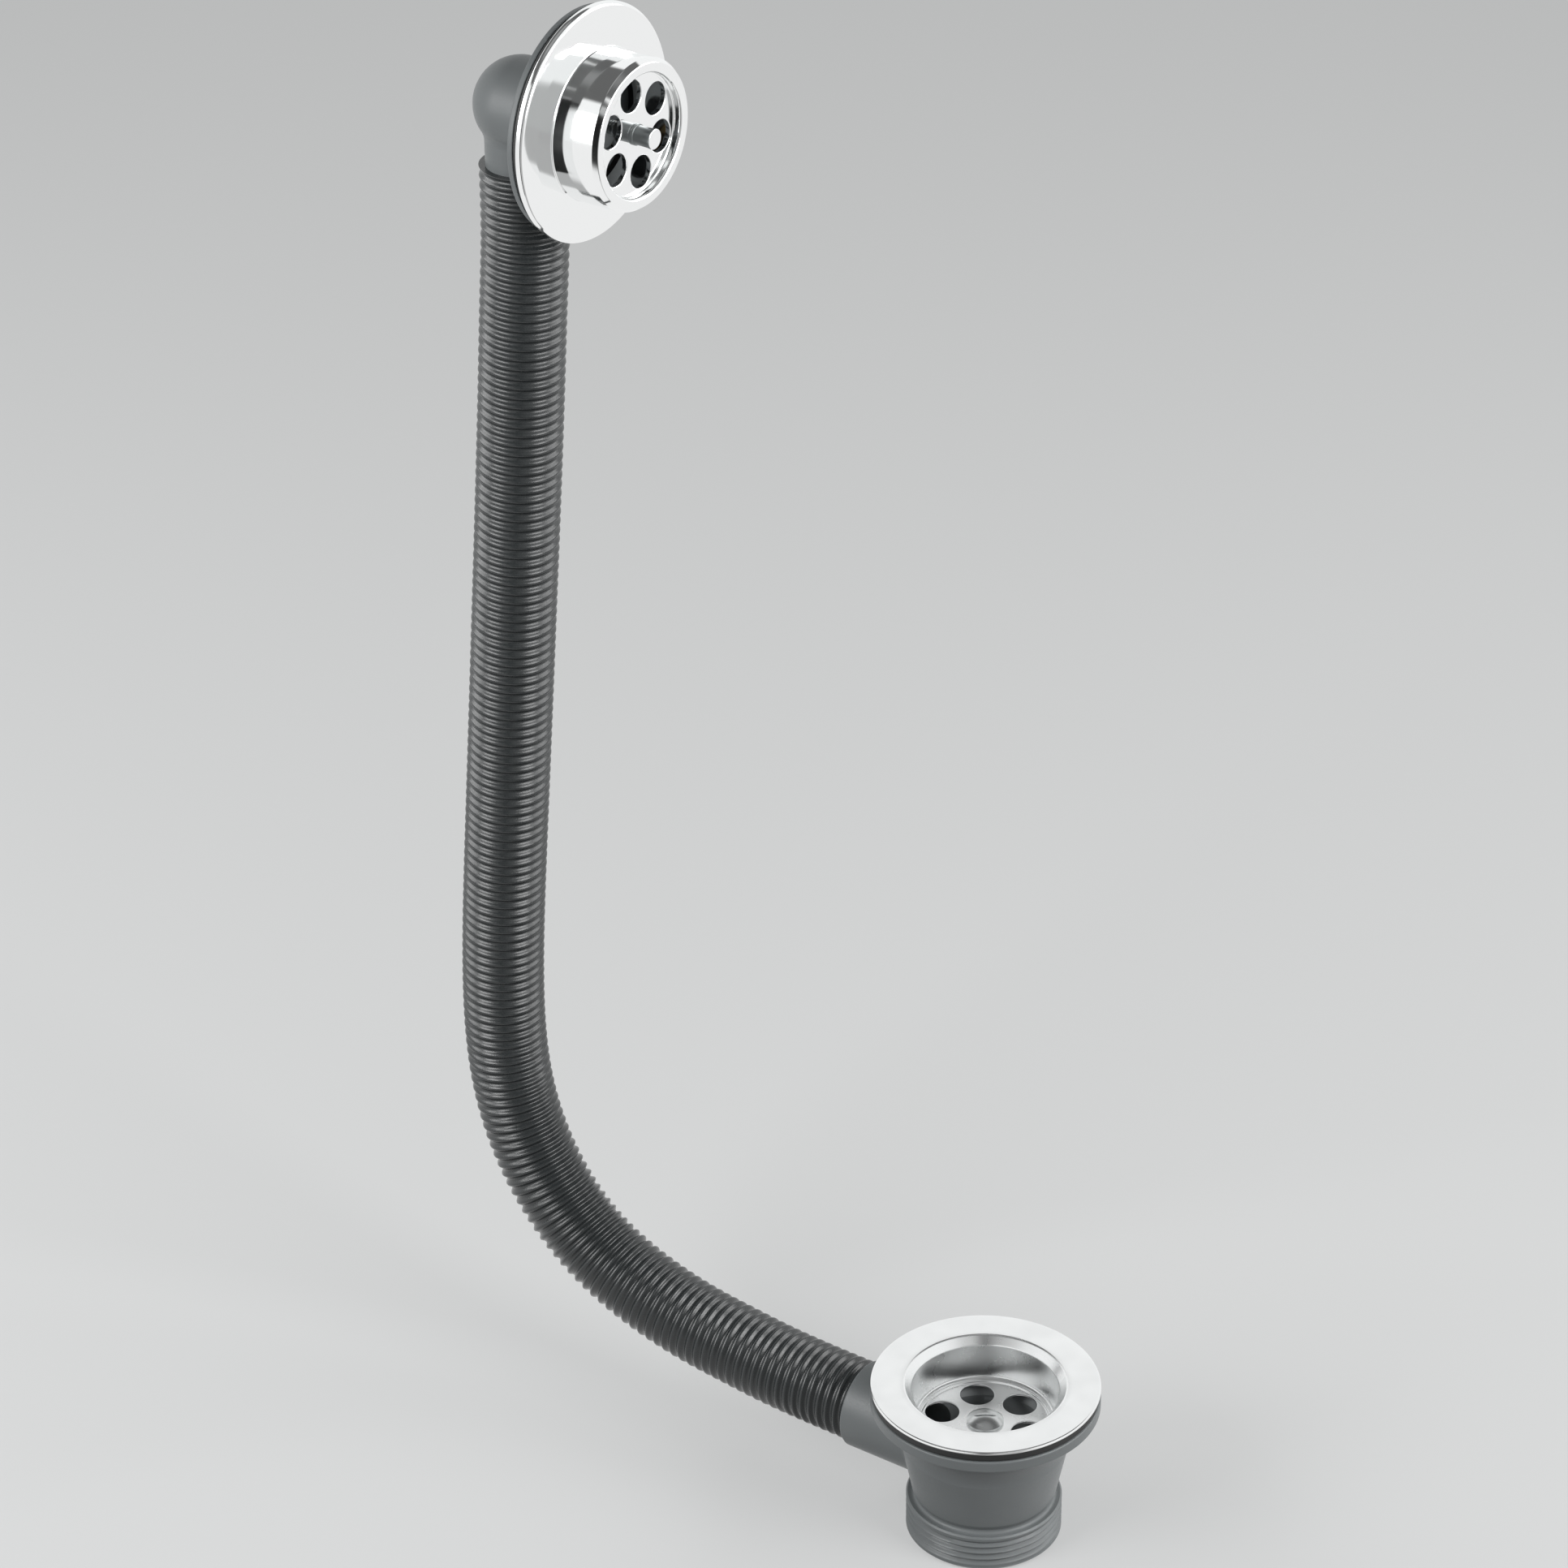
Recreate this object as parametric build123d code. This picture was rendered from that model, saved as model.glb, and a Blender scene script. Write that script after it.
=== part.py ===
"""Bath waste and overflow, in millimetres, +Z up.

The origin is the centre of the lower end of the waste's threaded tail. The overflow stands
behind the waste, on the -X side, faces +X, and a ribbed hose joins the two.
"""
import os
from math import cos, radians, sin

from build123d import *

# Where the two ends of the set stand
WASTE_HEIGHT = 53.0        # tail's lower end to the top of the waste flange
OVERFLOW_RISE = 377.5      # waste flange's top up to the overflow's axis
OVERFLOW_REACH = 161.6     # waste axis back to the overflow elbow's down axis
BRANCH_DROP = 26.2         # waste flange's top down to the axis of the hose branch
BRANCH_REACH = 44.5        # waste axis out to the shoulder where the hose stops
HOSE_TOP_DROP = 18.0       # overflow's axis down to the hose's upper end

# Clearances
HOSE_FIT = 0.15            # radial, hose bore over a spigot
INSERT_FIT = 0.10          # radial, brass insert in its boss
SCREW_FIT = 0.10           # radial, screw in its insert
SCREW_HOLE_FIT = 0.30      # radial, screw through a plate
BOWL_FIT = 1.0             # steel bowl inside the waste body
LIP_FIT = 0.2              # seal's bore to the start of the bowl's rounding
FUSE = 0.4                 # how far a web runs into the wall that carries it

# Waste bowl, pressed from sheet
BOWL_FLANGE_R = 35.0
BOWL_SHEET = 0.8
BOWL_LIP_R = 1.0           # rounding from the flange into the bowl
BOWL_MOUTH_R = 24.7        # sloping lip's radius at the flange's top
BOWL_THROAT_R = 22.5       # where the lip turns into the wall
BOWL_THROAT_DEPTH = 2.5
BOWL_BASE_R = 21.4         # wall's radius at the ledge
BOWL_DEPTH = 14.6          # flange's top to the strainer
STRAINER_R = 19.6
STRAINER_STEP = 0.8        # ledge above the strainer
STRAINER_HOLE_R = 5.2
STRAINER_HOLE_CIRCLE_R = 13.9
STRAINER_HOLE_COUNT = 6
STRAINER_HOLE_TURN = 13.0  # degrees

# Waste seal, under the flange from the bowl's rounding out
WASTE_SEAL_THICKNESS = 2.8
WASTE_SEAL_INSET = 0.4     # from the bowl's flange edge

# Waste body, one moulding
BODY_FLANGE_EDGE = 3.8     # thickness at the flange's rim
TAIL_R = 23.9              # 1 1/2 inch pipe thread, over its crests
TAIL_THREAD_LENGTH = 12.3
TAIL_BORE_R = 20.0
RELIEF_R = 21.4            # groove between the thread and the neck
RELIEF_HEIGHT = 1.4
NECK_LOW_R = 21.9
NECK_HIGH_R = 25.6
BELL_HEIGHT = 13.6         # flange's underside down to where the bell starts to flare
BRANCH_R = 13.9
BOSS_R = 7.0
BOSS_LENGTH = 15.0
BOSS_GAP = 1.0             # brass insert to the underside of the strainer
WEB_COUNT = 3
WEB_THICKNESS = 2.4
WEB_HEIGHT = 10.0

# Waste screw and its insert
WASTE_SCREW_R = 3.0
WASTE_SCREW_LENGTH = 17.0
WASTE_SCREW_HEAD_R = 5.65
WASTE_SCREW_HEAD_HEIGHT = 2.4
SLOT_WIDTH = 0.9
SLOT_DEPTH = 0.6
SLOT_TURN = 35.0           # degrees
INSERT_WALL = 1.3
INSERT_LENGTH = 12.0
INSERT_SHOULDER_WIDTH = 1.2
INSERT_SHOULDER_HEIGHT = 0.9

# Hose and the spigots it is pushed over
HOSE_CREST_R = 12.8
HOSE_GROOVE_R = 11.7
SPIGOT_R = 10.9
SPIGOT_BORE_R = 8.6
SPIGOT_LENGTH = 18.0
HOSE_STRAIGHT_PAST_SPIGOT = 2.0
HOSE_RIB_PITCH = 3.1
HOSE_TOP_BEND_R = 200.0
HOSE_LEAN = 4.15           # degrees from upright, on the long run
HOSE_MAIN_BEND_R = 84.0
HOSE_LAST_TURN = 12.0      # degrees left for the slow bend into the branch

# Overflow elbow
ELBOW_R = 13.8
ELBOW_BORE_R = 11.6
ELBOW_LENGTH = 20.2        # down axis to the back of the flange
ELBOW_FLANGE_INSET = 1.5   # from the rose's flange edge
ELBOW_FLANGE_THICKNESS = 1.8
ELBOW_BOSS_R = 5.6
ELBOW_BOSS_LENGTH = 13.0
ELBOW_BOSS_PROUD = 1.4
ELBOW_WEB_THICKNESS = 1.8

# Overflow seal
OVERFLOW_SEAL_THICKNESS = 2.2
OVERFLOW_SEAL_INSET = 1.6  # from the rose's flange edge
OVERFLOW_SEAL_WIDTH = 12.0

# Overflow rose, one casting: flange, drum and perforated face
ROSE_FLANGE_R = 34.4
ROSE_FLANGE_EDGE = 2.0
ROSE_FLANGE_RISE = 1.1     # the flange's front swells this much towards the drum
ROSE_DRUM_R = 22.0
ROSE_DRUM_LENGTH = 18.6    # flange's back to the front of the rim
ROSE_WALL = 1.9
ROSE_RIM_WIDTH = 4.2
ROSE_RIM_ROUND = 1.1
ROSE_RECESS = 2.6
ROSE_FACE = 1.8
ROSE_HOLE_R = 4.7
ROSE_HOLE_CIRCLE_R = 12.0
ROSE_HOLE_COUNT = 6
ROSE_HOLE_TURN = 9.0       # degrees

# Chain stay: a screw whose head is a grooved stud
STAY_SCREW_R = 2.5
STAY_SCREW_LENGTH = 27.0
STAY_FOOT_R = 3.1
STAY_FOOT_LENGTH = 1.0
STAY_STUD_R = 2.35
STAY_STUD_LENGTH = 5.5
STAY_HEAD_R = 2.95
STAY_HEAD_LENGTH = 1.0

# Heights and distances that follow from the sizes above
strainer_z = WASTE_HEIGHT - BOWL_DEPTH
bowl_underside_z = WASTE_HEIGHT - BOWL_SHEET
body_top_z = bowl_underside_z - WASTE_SEAL_THICKNESS
waste_seal_r = BOWL_FLANGE_R - WASTE_SEAL_INSET
waste_seal_bore_r = BOWL_MOUTH_R + BOWL_LIP_R + LIP_FIT
body_flange_r = BOWL_FLANGE_R
branch_z = WASTE_HEIGHT - BRANCH_DROP
overflow_z = WASTE_HEIGHT + OVERFLOW_RISE
hose_top_z = overflow_z - HOSE_TOP_DROP
hose_bore_r = SPIGOT_R + HOSE_FIT
hose_end_run = SPIGOT_LENGTH + HOSE_STRAIGHT_PAST_SPIGOT
insert_shoulder_z = strainer_z - BOWL_SHEET - BOSS_GAP
boss_top_z = insert_shoulder_z - INSERT_SHOULDER_HEIGHT
elbow_front = ELBOW_LENGTH + ELBOW_FLANGE_THICKNESS
elbow_flange_r = ROSE_FLANGE_R - ELBOW_FLANGE_INSET
overflow_seal_r = ROSE_FLANGE_R - OVERFLOW_SEAL_INSET
rose_back = elbow_front + OVERFLOW_SEAL_THICKNESS
rose_front = rose_back + ROSE_DRUM_LENGTH
rose_floor = rose_front - ROSE_RECESS
elbow_boss_front = elbow_front + ELBOW_BOSS_PROUD

# The overflow's pieces are turned about Z and then laid along +X on the overflow's axis
overflow_place = Pos(-OVERFLOW_REACH, 0, overflow_z) * Rot(0, 90, 0)


def turned(points):
    """A solid of revolution about Z from a closed outline of (radius, height) points."""
    outline = Plane.XZ * Polyline(*points, close=True)
    return revolve(make_face(outline), Axis.Z)


def disc(radius, low, high):
    """A plain cylinder on the Z axis between two heights."""
    return Pos(0, 0, low) * Cylinder(radius, high - low, align=(Align.CENTER, Align.CENTER, Align.MIN))


def ring(outer, inner, low, high):
    """A plain washer on the Z axis between two heights."""
    return disc(outer, low, high) - disc(inner, low, high)


def hole_circle(count, circle_r, hole_r, turn, low, high):
    """Round cutters spread evenly on a circle."""
    cutters = []
    for index in range(count):
        angle = radians(turn + index * 360 / count)
        cutters.append(Pos(circle_r * cos(angle), circle_r * sin(angle), 0) * disc(hole_r, low, high))
    return cutters


def webs(count, reach, thickness, low, high):
    """Flat arms from the Z axis outwards, the first along +X."""
    arm = Box(reach, thickness, high - low, align=(Align.MIN, Align.CENTER, Align.MIN))
    return [Rot(0, 0, index * 360 / count) * Pos(0, 0, low) * arm for index in range(count)]


def fillet_corners(face, corners, radius):
    """Round the corners of a flat section that lie at the given (radius, height) points."""
    chosen = []
    for corner_r, corner_z in corners:
        corner = Vector(corner_r, 0, corner_z)
        chosen.append(min(face.vertices(), key=lambda vertex: (Vector(*vertex) - corner).length))
    return fillet(chosen, radius)


def sheet_under(before, corner, after):
    """The place under an outline's corner that is one sheet away from both of its sides."""
    first = (Vector(*corner) - Vector(*before)).normalized()
    second = (Vector(*after) - Vector(*corner)).normalized()
    first_down = Vector(first.Y, -first.X)
    second_down = Vector(second.Y, -second.X)
    shift = (first_down + second_down) * (BOWL_SHEET / (1 + first_down.dot(second_down)))
    return (corner[0] + shift.X, corner[1] + shift.Y)


def waste_bowl():
    """Flange, lip, bowl and strainer, pressed from one disc of steel."""
    ledge_z = strainer_z + STRAINER_STEP
    screw_hole_r = WASTE_SCREW_R + SCREW_HOLE_FIT
    throat = (BOWL_THROAT_R, WASTE_HEIGHT - BOWL_THROAT_DEPTH)
    mouth = (BOWL_MOUTH_R, WASTE_HEIGHT)
    upper = [
        (screw_hole_r, strainer_z),
        (STRAINER_R, strainer_z),
        (STRAINER_R, ledge_z),
        (BOWL_BASE_R, ledge_z),
        throat,
        mouth,
        (BOWL_FLANGE_R, WASTE_HEIGHT),
    ]
    under = [sheet_under(*upper[index - 1:index + 2]) for index in range(1, len(upper) - 1)]
    rim = [(BOWL_FLANGE_R, bowl_underside_z)]
    hole = [(screw_hole_r, strainer_z - BOWL_SHEET)]
    outline = Polyline(*upper, *rim, *reversed(under), *hole, close=True)
    section = make_face(Plane.XZ * outline)
    section = fillet_corners(section, [throat, mouth], BOWL_LIP_R)
    section = fillet_corners(section, [(BOWL_FLANGE_R, WASTE_HEIGHT)], BOWL_SHEET * 0.8)
    bowl = revolve(section, Axis.Z)
    holes = hole_circle(
        STRAINER_HOLE_COUNT,
        STRAINER_HOLE_CIRCLE_R,
        STRAINER_HOLE_R,
        STRAINER_HOLE_TURN,
        strainer_z - 2 * BOWL_SHEET,
        strainer_z + 1,
    )
    return bowl - holes


def waste_seal():
    """Flat ring clamped between the steel flange and the body."""
    return ring(waste_seal_r, waste_seal_bore_r, body_top_z, bowl_underside_z)


def waste_body():
    """Flange, bell, threaded tail, hose branch and the spider for the screw, moulded as one."""
    flange_low_z = body_top_z - BODY_FLANGE_EDGE
    seat_mouth_r = BOWL_MOUTH_R + BOWL_SHEET + BOWL_FIT
    seat_base_r = BOWL_BASE_R + BOWL_SHEET + BOWL_FIT
    seat_low_z = strainer_z - BOWL_SHEET - BOWL_FIT
    seat_taper = seat_base_r - TAIL_BORE_R
    neck_low_z = TAIL_THREAD_LENGTH + RELIEF_HEIGHT
    neck_top = (NECK_HIGH_R, flange_low_z - BELL_HEIGHT)
    flange_low = (body_flange_r, flange_low_z)
    skin = Polyline(
        (0, body_top_z),
        (0, 0),
        (TAIL_R, 0),
        (TAIL_R, TAIL_THREAD_LENGTH),
        (RELIEF_R, TAIL_THREAD_LENGTH),
        (RELIEF_R, neck_low_z),
        (NECK_LOW_R, neck_low_z),
        neck_top,
    )
    skin += TangentArc(neck_top, flange_low, tangent=(0, 1))
    skin += Polyline(flange_low, (body_flange_r, body_top_z), (0, body_top_z))
    body = revolve(make_face(Plane.XZ * skin), Axis.Z)
    branch = Pos(0, 0, branch_z) * Rot(0, -90, 0)
    body += branch * disc(BRANCH_R, 0, BRANCH_REACH)
    body += branch * disc(SPIGOT_R, BRANCH_REACH, BRANCH_REACH + SPIGOT_LENGTH)
    body -= turned([
        (0, -1),
        (TAIL_BORE_R, -1),
        (TAIL_BORE_R, seat_low_z - seat_taper),
        (seat_base_r, seat_low_z),
        (seat_mouth_r, body_top_z),
        (seat_mouth_r, body_top_z + 1),
        (0, body_top_z + 1),
    ])
    body -= branch * disc(SPIGOT_BORE_R, 0, BRANCH_REACH + SPIGOT_LENGTH + 1)
    boss_low_z = boss_top_z - BOSS_LENGTH
    body += disc(BOSS_R, boss_low_z, boss_top_z)
    body += webs(WEB_COUNT, TAIL_BORE_R + FUSE, WEB_THICKNESS, boss_low_z, boss_low_z + WEB_HEIGHT)
    return body - disc(insert_r(WASTE_SCREW_R) + INSERT_FIT, boss_low_z - 1, boss_top_z + 1)


def insert_r(screw_r):
    """Outer radius of the brass insert that takes a screw."""
    return screw_r + SCREW_FIT + INSERT_WALL


def insert(screw_r, seat):
    """Shouldered brass insert whose shoulder sits on its boss at the given height."""
    outer_r = insert_r(screw_r)
    sleeve = disc(outer_r, seat - INSERT_LENGTH, seat)
    shoulder = disc(outer_r + INSERT_SHOULDER_WIDTH, seat, seat + INSERT_SHOULDER_HEIGHT)
    return sleeve + shoulder - disc(screw_r + SCREW_FIT, seat - INSERT_LENGTH - 1, seat + INSERT_LENGTH)


def waste_screw():
    """Domed screw that pulls the bowl down on its seal."""
    top_z = strainer_z + WASTE_SCREW_HEAD_HEIGHT
    edge_z = strainer_z + WASTE_SCREW_HEAD_HEIGHT / 3
    edge = (WASTE_SCREW_HEAD_R, edge_z)
    head = Polyline((0, top_z), (0, strainer_z), (WASTE_SCREW_HEAD_R, strainer_z), edge)
    head += TangentArc((0, top_z), edge, tangent=(1, 0))
    screw = revolve(make_face(Plane.XZ * head), Axis.Z)
    screw += disc(WASTE_SCREW_R, strainer_z - WASTE_SCREW_LENGTH, strainer_z)
    slot = Box(3 * WASTE_SCREW_HEAD_R, SLOT_WIDTH, 2 * SLOT_DEPTH)
    return screw - Pos(0, 0, top_z) * Rot(0, 0, SLOT_TURN) * slot


def hose_route():
    """The hose's centreline: straight over each spigot, a long leaning run and two bends.

    The long run and the slow last bend take whatever length and radius close the route.
    """
    lean = radians(HOSE_LEAN)
    last = radians(HOSE_LAST_TURN)
    start = Vector(-OVERFLOW_REACH, hose_top_z)
    finish = Vector(-BRANCH_REACH, branch_z)
    across = finish.X - start.X - hose_end_run + HOSE_TOP_BEND_R * (1 - cos(lean))
    across -= HOSE_MAIN_BEND_R * (cos(lean) - sin(last))
    down = finish.Y - start.Y + hose_end_run + HOSE_TOP_BEND_R * sin(lean)
    down += HOSE_MAIN_BEND_R * (sin(lean) + cos(last))
    share = sin(lean) * (1 - cos(last)) + cos(lean) * sin(last)
    long_run = (across * (cos(last) - 1) - down * sin(last)) / share
    last_bend_r = (across * cos(lean) - down * sin(lean)) / share
    top_run = Line(start, start - Vector(0, hose_end_run))
    top_bend = JernArc(top_run @ 1, top_run % 1, HOSE_TOP_BEND_R, -HOSE_LEAN)
    lean_run = Line(top_bend @ 1, top_bend @ 1 + (top_bend % 1) * long_run)
    main_bend = JernArc(lean_run @ 1, lean_run % 1, HOSE_MAIN_BEND_R, 90 + HOSE_LEAN - HOSE_LAST_TURN)
    last_bend = JernArc(main_bend @ 1, main_bend % 1, last_bend_r, HOSE_LAST_TURN)
    end_run = Line(last_bend @ 1, finish)
    print(f"hose: long run {long_run:.1f}, last bend radius {last_bend_r:.1f}")
    runs = [top_run, top_bend, lean_run, main_bend, last_bend, end_run]
    return Wire([Plane.XZ * run for run in runs])


def overflow_hose():
    """Ribbed hose: cones between crest and groove circles along the route, bored through."""
    route = hose_route()
    stations = 2 * round(route.length / HOSE_RIB_PITCH)
    sections = []
    for index in range(stations + 1):
        along = index / stations
        across = Plane(origin=route @ along, x_dir=(0, 1, 0), z_dir=route % along)
        sections.append(across * Circle(HOSE_GROOVE_R if index % 2 else HOSE_CREST_R))
    skin = loft(sections, ruled=True)
    mouth = Plane(origin=route @ 0, x_dir=(0, 1, 0), z_dir=route % 0)
    hose = skin - sweep(mouth * Circle(hose_bore_r), path=route)
    print(f"hose: length {route.length:.1f}, ribs {stations // 2}, volume {hose.volume:.0f}")
    return hose


def overflow_elbow():
    """Flange, ball elbow, spigot and the spider for the chain stay, moulded as one."""
    drop = Rot(0, 90, 0)
    spigot_end = HOSE_TOP_DROP + SPIGOT_LENGTH
    elbow = disc(elbow_flange_r, ELBOW_LENGTH, elbow_front) + disc(ELBOW_R, 0, ELBOW_LENGTH)
    elbow += Sphere(ELBOW_R)
    elbow += drop * disc(SPIGOT_R, 0, spigot_end)
    elbow -= disc(ELBOW_BORE_R, 0, elbow_front + 1)
    elbow -= Sphere(ELBOW_BORE_R)
    elbow -= drop * disc(SPIGOT_BORE_R, 0, spigot_end + 1)
    boss_back = elbow_boss_front - ELBOW_BOSS_LENGTH
    elbow += disc(ELBOW_BOSS_R, boss_back, elbow_boss_front)
    elbow += webs(WEB_COUNT, ELBOW_BORE_R + FUSE, ELBOW_WEB_THICKNESS, boss_back, elbow_front)
    elbow -= disc(insert_r(STAY_SCREW_R) + INSERT_FIT, boss_back - 1, elbow_boss_front + 1)
    return overflow_place * elbow


def overflow_seal():
    """Flat ring between the rose's flange and the elbow's."""
    inner_r = overflow_seal_r - OVERFLOW_SEAL_WIDTH
    return overflow_place * ring(overflow_seal_r, inner_r, elbow_front, rose_back)


def overflow_rose():
    """Plated flange and drum with a perforated face, cast as one."""
    recess_r = ROSE_DRUM_R - ROSE_RIM_WIDTH
    hollow_r = ROSE_DRUM_R - ROSE_WALL
    screw_hole_r = STAY_SCREW_R + SCREW_HOLE_FIT
    edge_front = rose_back + ROSE_FLANGE_EDGE
    drum_foot = edge_front + ROSE_FLANGE_RISE
    face_back = rose_floor - ROSE_FACE
    rim_corners = [(recess_r, rose_front), (ROSE_DRUM_R, rose_front)]
    outline = Polyline(
        (screw_hole_r, rose_floor),
        (recess_r, rose_floor),
        *rim_corners,
        (ROSE_DRUM_R, drum_foot),
        (ROSE_FLANGE_R, edge_front),
        (ROSE_FLANGE_R, rose_back),
        (hollow_r, rose_back),
        (hollow_r, face_back),
        (screw_hole_r, face_back),
        close=True,
    )
    section = make_face(Plane.XZ * outline)
    section = fillet_corners(section, rim_corners, min(ROSE_RIM_ROUND, 0.45 * ROSE_RIM_WIDTH))
    section = fillet_corners(section, [(ROSE_FLANGE_R, edge_front)], 0.7 * ROSE_FLANGE_EDGE)
    section = fillet_corners(section, [(ROSE_FLANGE_R, rose_back)], 0.2 * ROSE_FLANGE_EDGE)
    section = fillet_corners(section, [(ROSE_DRUM_R, drum_foot)], 0.4 * ROSE_FLANGE_EDGE)
    rose = revolve(section, Axis.Z)
    rose -= hole_circle(
        ROSE_HOLE_COUNT,
        ROSE_HOLE_CIRCLE_R,
        ROSE_HOLE_R,
        ROSE_HOLE_TURN,
        face_back - 1,
        rose_floor + 1,
    )
    return overflow_place * rose


def chain_stay():
    """Screw that holds the rose, with a grooved stud in front for a chain."""
    foot_front = rose_floor + STAY_FOOT_LENGTH
    stud_front = foot_front + STAY_STUD_LENGTH
    stay = disc(STAY_SCREW_R, rose_floor - STAY_SCREW_LENGTH, rose_floor)
    stay += disc(STAY_FOOT_R, rose_floor, foot_front)
    stay += disc(STAY_STUD_R, foot_front, stud_front)
    stay += disc(STAY_HEAD_R, stud_front - STAY_HEAD_LENGTH, stud_front)
    return overflow_place * stay


nodes = {
    "waste_bowl": waste_bowl(),
    "waste_screw": waste_screw(),
    "waste_seal": waste_seal(),
    "waste_body": waste_body(),
    "waste_insert": insert(WASTE_SCREW_R, boss_top_z),
    "overflow_hose": overflow_hose(),
    "overflow_rose": overflow_rose(),
    "chain_stay": chain_stay(),
    "overflow_seal": overflow_seal(),
    "overflow_elbow": overflow_elbow(),
    "overflow_insert": overflow_place * insert(STAY_SCREW_R, elbow_boss_front),
}

os.makedirs("parts", exist_ok=True)
for name, shape in nodes.items():
    export_step(shape, f"parts/{name}.step")
    print(name, f"volume {shape.volume:.0f}", "solids", len(shape.solids()))
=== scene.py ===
# %% [markdown]
# # A bath waste and overflow
# The set drains a bath in two places. A steel strainer bowl sits in the floor, a plated rose
# sits in the end wall, and a ribbed hose behind the bath joins the two. This lesson dresses a
# finished engineering model: the model gives every place and size, and each cell below makes
# one piece or one finish that the plain solids can't show.

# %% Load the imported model
import math

import bmesh
import bpy
from mathutils import Matrix, Vector


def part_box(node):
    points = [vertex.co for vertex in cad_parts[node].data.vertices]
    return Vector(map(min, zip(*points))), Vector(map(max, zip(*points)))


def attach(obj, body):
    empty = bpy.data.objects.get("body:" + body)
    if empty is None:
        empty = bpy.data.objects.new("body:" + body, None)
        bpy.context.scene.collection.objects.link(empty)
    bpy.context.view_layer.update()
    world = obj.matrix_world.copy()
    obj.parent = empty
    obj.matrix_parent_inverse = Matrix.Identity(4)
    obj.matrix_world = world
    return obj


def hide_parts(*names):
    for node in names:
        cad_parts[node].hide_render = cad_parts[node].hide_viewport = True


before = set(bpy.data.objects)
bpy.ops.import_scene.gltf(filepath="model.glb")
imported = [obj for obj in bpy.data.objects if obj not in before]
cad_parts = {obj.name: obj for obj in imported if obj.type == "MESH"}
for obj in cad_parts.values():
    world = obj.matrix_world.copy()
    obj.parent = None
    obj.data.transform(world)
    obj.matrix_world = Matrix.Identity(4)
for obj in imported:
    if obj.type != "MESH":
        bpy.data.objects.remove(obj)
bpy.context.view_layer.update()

print("nodes in the frame:", ", ".join(sorted(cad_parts)))

# %% [markdown]
# ## Places and sizes
# Everything below is written in millimetres and turned to metres when a mesh is made. The main
# places are read from the solids, so a piece that stands for a solid can't drift away from it.

# %% Read the places from the frame
MM = 0.001


def box_mm(node):
    """Lowest and highest corner of a solid, in millimetres."""
    low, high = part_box(node)
    return low / MM, high / MM


bowl_high = box_mm("waste_bowl")[1]
body_high = box_mm("waste_body")[1]
rose_low, rose_high = box_mm("overflow_rose")
elbow_low, elbow_high = box_mm("overflow_elbow")
flange_top = bowl_high.z
overflow_z = (rose_low.z + rose_high.z) / 2

# The overflow's pieces are turned about Z, with their heights as distances along +X, and then
# laid forward on the overflow's axis
lay_forward = Matrix.Translation((0, 0, overflow_z * MM)) @ Matrix.Rotation(math.pi / 2, 4, "Y")
print(f"flange top {flange_top:.1f} mm, overflow axis {overflow_z:.1f} mm above the tail's end")

# %% [markdown]
# ## The camera
# The picture was taken from above and to one side with a long lens. The angles below were found
# by matching the two round flanges, whose ellipses fix the view.

# %% Camera
VIEW_AZIMUTH = math.radians(35.28)
VIEW_ELEVATION = math.radians(29.82)
VIEW_ROLL = math.radians(-0.47)
VIEW_DISTANCE = 1401.0
VIEW_TARGET = Vector((-39.0, -48.0, flange_top + 219.0))
LENS = 115.6
SENSOR_WIDTH = 36.0
SIGHT = 20.0  # metres


def new_object(name, data):
    """An object that shows some data, put into the scene."""
    item = bpy.data.objects.new(name, data)
    bpy.context.collection.objects.link(item)
    return item


back = Vector((
    math.sin(VIEW_AZIMUTH) * math.cos(VIEW_ELEVATION),
    -math.cos(VIEW_AZIMUTH) * math.cos(VIEW_ELEVATION),
    math.sin(VIEW_ELEVATION),
))
camera_data = bpy.data.cameras.new("camera")
camera_data.lens = LENS
camera_data.sensor_width = SENSOR_WIDTH
camera_data.clip_end = SIGHT
camera = new_object("camera", camera_data)
turn = back.to_track_quat("Z", "Y").to_matrix().to_4x4() @ Matrix.Rotation(VIEW_ROLL, 4, "Z")
camera.matrix_world = Matrix.Translation((VIEW_TARGET + back * VIEW_DISTANCE) * MM) @ turn
bpy.context.scene.camera = camera
print("camera at", [round(v, 3) for v in camera.matrix_world.translation])

# %% [markdown]
# ## Skins, outlines and the lathe
# Nearly every piece here is round: it was spun, turned, pressed or moulded about an axis. A
# list of corners, each with its own rounding, is enough to describe such a piece. One helper
# replaces each corner by a short arc, another turns the outline about Z, and both end in a skin
# of rings that is closed all round.

# %% Skin, outline and lathe helpers
ARC_STEP = math.radians(8)
ROUND_SEGMENTS = 160
SAME = 1e-6  # lengths closer than this count as equal


def skin(name, rings, joined=False):
    """A closed mesh from rings of points in millimetres; a ring of one point closes an end."""
    shape = bmesh.new()
    rows = [[shape.verts.new(Vector(point) * MM) for point in ring] for ring in rings]
    count = max(len(row) for row in rows)
    last = len(rows) if joined else len(rows) - 1
    for index in range(last):
        here, after = rows[index], rows[(index + 1) % len(rows)]
        if len(here) == 1 and len(after) == 1:
            continue
        for step in range(count):
            follow = (step + 1) % count
            corners = [here[step % len(here)], here[follow % len(here)]]
            corners += [after[follow % len(after)], after[step % len(after)]]
            shape.faces.new(list(dict.fromkeys(corners)))
    bmesh.ops.recalc_face_normals(shape, faces=shape.faces)
    mesh = bpy.data.meshes.new(name)
    shape.to_mesh(mesh)
    shape.free()
    return new_object(name, mesh)


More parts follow.
